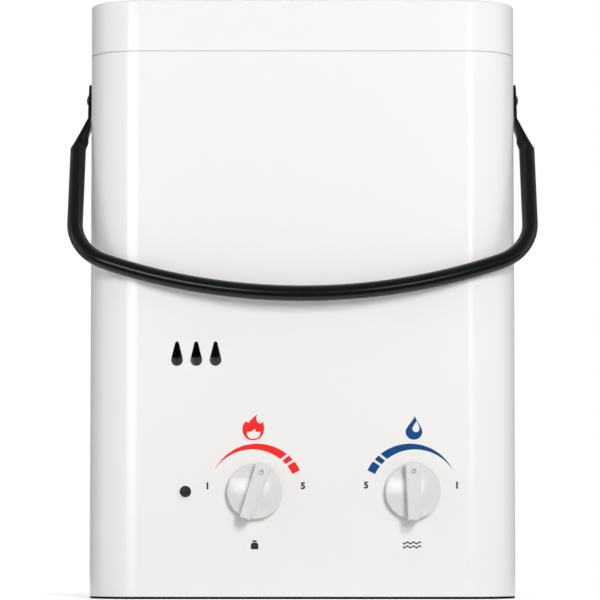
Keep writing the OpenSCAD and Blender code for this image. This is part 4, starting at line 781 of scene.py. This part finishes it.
def bezier_loop(knots, k=12):
    """A closed outline through cubic pieces: each row gives a point and its in and out handles."""
    kn = np.asarray(knots, float).reshape(-1, 3, 2)
    p0, h0 = kn[:, 0], kn[:, 2]
    p1, h1 = np.roll(kn[:, 0], -1, 0), np.roll(kn[:, 1], -1, 0)
    t = np.linspace(0, 1, k + 1)[:-1][None, :, None]
    pts = ((1 - t) ** 3 * p0[:, None] + 3 * (1 - t) ** 2 * t * h0[:, None]
           + 3 * (1 - t) * t ** 2 * h1[:, None] + t ** 3 * p1[:, None])
    return pts.reshape(-1, 2)


def marks():
    """All printed marks: the two scales, a flame, a water drop, plain numbers and small signs."""
    scale_band("gas_scale", GAS_X, M["red_print"], 1)
    scale_band("water_scale", WATER_X, M["blue_print"], -1)
    flame = bezier_loop([
        [(0, 0), (4.4, 0), (-4.4, 0)], [(-7.4, 7.6), (-7.4, 3.4), (-7.4, 10.4)],
        [(-4.6, 13.5), (-6.2, 12.2), (-4.7, 12.8)], [(-2.9, 12.4), (-3.9, 12.2), (-1.6, 14.2)],
        [(3.3, 18.3), (0.6, 16.6), (1.6, 16.6)], [(4.6, 11.8), (1.9, 12.4), (5.4, 11.6)],
        [(7.3, 13.1), (6.5, 12.3), (6.9, 11.6)], [(7.6, 7.6), (7.9, 9.6), (7.4, 3.4)],
    ])
    core = bezier_loop([
        [(0, 1.1), (2.6, 1.1), (-2.6, 1.1)], [(-4.2, 4.3), (-4.0, 2.6), (-4.2, 5.0)],
        [(-3.5, 6.3), (-4.0, 5.8), (-3.2, 5.9)], [(-2.2, 5.7), (-2.8, 5.6), (-1.2, 6.0)],
        [(1.9, 7.7), (0.2, 7.6), (1.2, 6.9)], [(2.2, 5.9), (1.4, 6.2), (3.2, 5.6)],
        [(5.0, 5.8), (4.2, 6.2), (5.1, 4.8)], [(4.6, 3.4), (4.9, 4.0), (4.2, 2.4)],
    ])
    at = np.array([GAS_X - 1.2, 109.4])
    print_patch("flame_mark", [flame + at, core + at], M["red_print"])
    drop = bezier_loop([
        [(0, 0), (3.4, 0), (-3.4, 0)], [(-5.8, 5.6), (-5.8, 2.6), (-5.8, 8.6)],
        [(0.6, 16.4), (-0.2, 13.2), (1.6, 13.2)], [(5.8, 5.6), (5.8, 8.6), (5.8, 2.6)],
    ])
    glint = bezier_loop([
        [(1.6, 5.2), (2.8, 5.2), (0.2, 5.2)], [(-1.0, 7.6), (-1.0, 6.2), (-1.0, 9.4)],
        [(1.9, 13.2), (1.4, 11.6), (2.6, 11.4)], [(3.8, 7.6), (3.9, 9.4), (3.8, 6.2)],
    ])
    at = np.array([WATER_X + 0.9, 109.9])
    print_patch("drop_mark", [drop + at, glint + at], M["blue_print"])
    for label, text, x, z in (("gas_low", "1", -65.7, 78.0), ("gas_high", "5", 0.3, 78.0),
                              ("water_high", "5", 43.9, 78.5), ("water_low", "1", 106.8, 78.5)):
        number(f"number_{label}", text, x, z)
    # signs under the knobs: a small gas bottle, and two waves
    body = rounded_polygon([(-2.6, -3.0), (2.6, -3.0), (2.6, 1.6), (-2.6, 1.6)],
                           [0.5, 0.5, 1.8, 1.8])[0]
    collar = rounded_polygon([(-1.5, 1.9), (1.5, 1.9), (1.5, 3.1), (-1.5, 3.1)], [0.2] * 4)[0]
    for i, loop in enumerate((body, collar)):
        print_patch(f"bottle_sign_{i}", [loop + [GAS_X - 0.1, 37.3]], M["dark_print"])
    x = np.linspace(-6.3, 6.3, 97)
    for i, z in enumerate((-1.35, 1.35)):
        wave = z + 0.6 * np.sin(2 * np.pi * x / 4.2)
        low, high = np.stack([x, wave - 0.55], -1), np.stack([x, wave + 0.55], -1)
        loop = np.concatenate([low, high[::-1]])
        print_patch(f"wave_sign_{i}", [loop + [WATER_X - 0.6, 37.3]], M["dark_print"])


front_cover()
top_cap()
bail()
knob("gas_knob_body", GAS_X, GAS_TURN, "gas_control", "gas_knob")
knob("water_knob_body", WATER_X, 0.0, "water_control", "water_knob")
button()
bezel()
marks()


# ---- Stage, light and camera ----

def studio_floor():
    """A pale floor that keeps the casing's shadow. The camera and gloss see it turn to plain
    white with distance from the casing, so that it meets the white ground without an edge. It
    lies a hair under the tray, and from below it is clear."""
    mat = bpy.data.materials.new("floor_paper")
    mat.use_nodes = True
    t = mat.node_tree
    t.nodes.remove(t.nodes["Principled BSDF"])
    out = t.nodes["Material Output"]
    coord = add(t, "TexCoord").outputs["Object"]
    fibre = add(t, "TexNoise", {"Vector": coord, "Scale": 220.0, "Detail": 4.0}).outputs[0]
    paper = mix_colour(t, fibre, (0.79, 0.79, 0.79, 1), (0.81, 0.81, 0.81, 1))
    diff = add(t, "BsdfDiffuse", {"Color": paper})
    glow = add(t, "Emission", {"Color": (1, 1, 1, 1), "Strength": 0.4})
    near = add(t, "AddShader", {0: diff.outputs[0], 1: glow.outputs[0]})
    white = add(t, "Emission", {"Color": (1, 1, 1, 1), "Strength": 1.0})
    wide = add(t, "VectorMath", {0: coord, 1: (1.0, 2.2, 1.0)}, operation="MULTIPLY").outputs[0]
    away = add(t, "VectorMath", {0: wide}, operation="LENGTH").outputs["Value"]
    fade = add(t, "MapRange", {"Value": away, "From Min": 0.2, "From Max": 0.42}).outputs[0]
    shown = add(t, "MixShader", {0: fade, 1: near.outputs[0], 2: white.outputs[0]})
    ray = add(t, "LightPath")
    seen = add(t, "Math", {0: ray.outputs["Is Camera Ray"], 1: ray.outputs["Is Glossy Ray"]},
               operation="MAXIMUM").outputs[0]
    seen = add(t, "Math", {0: seen, 1: ray.outputs["Is Transmission Ray"]},
               operation="MAXIMUM").outputs[0]
    pick = add(t, "MixShader", {0: seen, 1: diff.outputs[0], 2: shown.outputs[0]})
    below = add(t, "NewGeometry").outputs["Backfacing"]
    clear = add(t, "BsdfTransparent").outputs[0]
    pick = add(t, "MixShader", {0: below, 1: pick.outputs[0], 2: clear})
    t.links.new(pick.outputs[0], out.inputs["Surface"])
    mesh = bpy.data.meshes.new("floor")
    s, z = 6.0, -0.0001
    mesh.from_pydata([(-s, -s, z), (s, -s, z), (s, s, z), (-s, s, z)], [], [(0, 1, 2, 3)])
    mesh.materials.append(mat)
    floor = bpy.data.objects.new("floor", mesh)
    bpy.context.scene.collection.objects.link(floor)


def softbox(name, side, rise, far, w, h, level, gloss=True, diffuse=True):
    """A flat lamp of w by h metres, side degrees to the right of the front and rise degrees up,
    far metres from the middle of the casing and facing it, at a plain radiance level. The camera
    doesn't see it; gloss and diffuse say which other rays do."""
    lamp = bpy.data.lights.new(name, "AREA")
    lamp.shape, lamp.size, lamp.size_y = "RECTANGLE", w, h
    lamp.energy = level * 4 * w * h
    obj = bpy.data.objects.new(name, lamp)
    a, e = math.radians(side), math.radians(rise)
    away = Vector((math.sin(a) * math.cos(e), -math.cos(a) * math.cos(e), math.sin(e)))
    obj.location = Vector((0, 0, 0.2)) + far * away
    obj.rotation_euler = (-away).to_track_quat("-Z", "Y").to_euler()
    obj.visible_camera = False
    obj.visible_glossy, obj.visible_diffuse = gloss, diffuse
    bpy.context.scene.collection.objects.link(obj)


def dark_cards():
    """Two upright grey cards just outside the view and a black one lying in front, which only
    gloss sees: they draw the pale casing's outline against the white ground and keep the black
    bail black, as a photographer's cards do."""
    mats = {}
    for name, level in (("black", 0.0), ("grey", 0.38)):
        mats[name] = bpy.data.materials.new("card_" + name)
        mats[name].use_nodes = True
        bsdf = mats[name].node_tree.nodes["Principled BSDF"]
        bsdf.inputs["Base Color"].default_value = (0.01, 0.01, 0.01, 1)
        bsdf.inputs["Roughness"].default_value = 0.9
        bsdf.inputs["Emission Color"].default_value = (1, 1, 1, 1)
        bsdf.inputs["Emission Strength"].default_value = level
    cards = {f"card_{name}": [(x, 0.0, 0.0), (x, 1.9, 0.0), (x, 1.9, 1.1), (x, 0.0, 1.1)]
             for name, x in (("left", -0.44), ("right", 0.44))}
    cards["card_front"] = [(x, y, 0.004) for x, y in ((-1.5, -6.0), (1.5, -6.0), (1.5, -0.22),
                                                      (-1.5, -0.22))]
    for name, corners in cards.items():
        mesh = bpy.data.meshes.new(name)
        mesh.from_pydata(corners, [], [(0, 1, 2, 3)])
        mesh.materials.append(mats["black" if name == "card_front" else "grey"])
        card = bpy.data.objects.new(name, mesh)
        bpy.context.scene.collection.objects.link(card)
        card.visible_camera = card.visible_diffuse = card.visible_shadow = False
        card.visible_transmission = False


def studio_world():
    """Even light all round: white to the camera, and a plain level to everything else. Gloss sees
    it white behind and at the sides and dark in front and above, where the dark of a studio lies
    between its lamps."""
    world = bpy.data.worlds.new("studio")
    bpy.context.scene.world = world
    world.use_nodes = True
    t = world.node_tree
    back = t.nodes["Background"]
    back.inputs["Color"].default_value = (1, 1, 1, 1)
    ray = add(t, "LightPath")
    white = add(t, "Math", {0: ray.outputs["Is Camera Ray"], 1: ray.outputs["Is Transmission Ray"]},
                operation="MAXIMUM").outputs[0]
    way = add(t, "SeparateXYZ", {0: add(t, "TexCoord").outputs["Generated"]})
    front = add(t, "MapRange", {"Value": way.outputs[1], "From Min": -0.8, "From Max": -0.1,
                                "To Min": 0.06})
    above = add(t, "MapRange", {"Value": way.outputs[2], "From Min": 0.7, "From Max": 0.3,
                                "To Min": 0.2})
    gloss = add(t, "Math", {0: above.outputs[0], 1: front.outputs[0]},
                operation="MULTIPLY").outputs[0]
    gloss = add(t, "Math", {0: ray.outputs["Is Glossy Ray"], 1: gloss},
                operation="MULTIPLY").outputs[0]
    seen = add(t, "Math", {0: white, 1: gloss}, operation="MAXIMUM").outputs[0]
    ambient = add(t, "Math", {0: ray.outputs["Is Diffuse Ray"], 1: 0.25},
                  operation="MULTIPLY").outputs[0]
    level = add(t, "Math", {0: seen, 1: ambient}, operation="MAXIMUM").outputs[0]
    t.links.new(level, back.inputs["Strength"])


studio_floor()
studio_world()
dark_cards()
softbox("key", 14.5, 16.0, 3.2, 0.6, 1.15, 20.6, gloss=False)
softbox("strip_left", -19, 9.2, 3.2, 1.24, 0.58, 3.9, diffuse=False)
softbox("strip_left_low", -19, -0.5, 3.2, 1.24, 0.5, 2.5, diffuse=False)
softbox("strip_right", 13.5, 9.2, 3.2, 0.5, 0.58, 2.8, diffuse=False)
softbox("strip_right_low", 13.5, -0.5, 3.2, 0.5, 0.5, 1.7, diffuse=False)
softbox("top", 0, 70, 2.6, 1.6, 1.2, 0.7, gloss=False)
softbox("fill_right", 62, 10, 3.0, 2.2, 2.2, 0.25, gloss=False)
softbox("fill_left", -62, 10, 3.0, 2.2, 2.2, 0.75, gloss=False)
softbox("rear", 180, 35, 3.2, 1.8, 1.8, 3.8, gloss=False)

camera_data = bpy.data.cameras.new("camera")
camera_data.sensor_width = 36.0
camera_data.lens = 200.82
camera_data.shift_x = -2.5 / 600
camera_data.clip_end = 100.0
camera = bpy.data.objects.new("camera", camera_data)
camera.location = (0.0, -2.3803, 0.05067)
camera.rotation_euler = (math.radians(90.0) + 0.06726, 0.0, 0.0)
bpy.context.scene.collection.objects.link(camera)
bpy.context.scene.camera = camera
bpy.context.scene.view_settings.view_transform = "Standard"
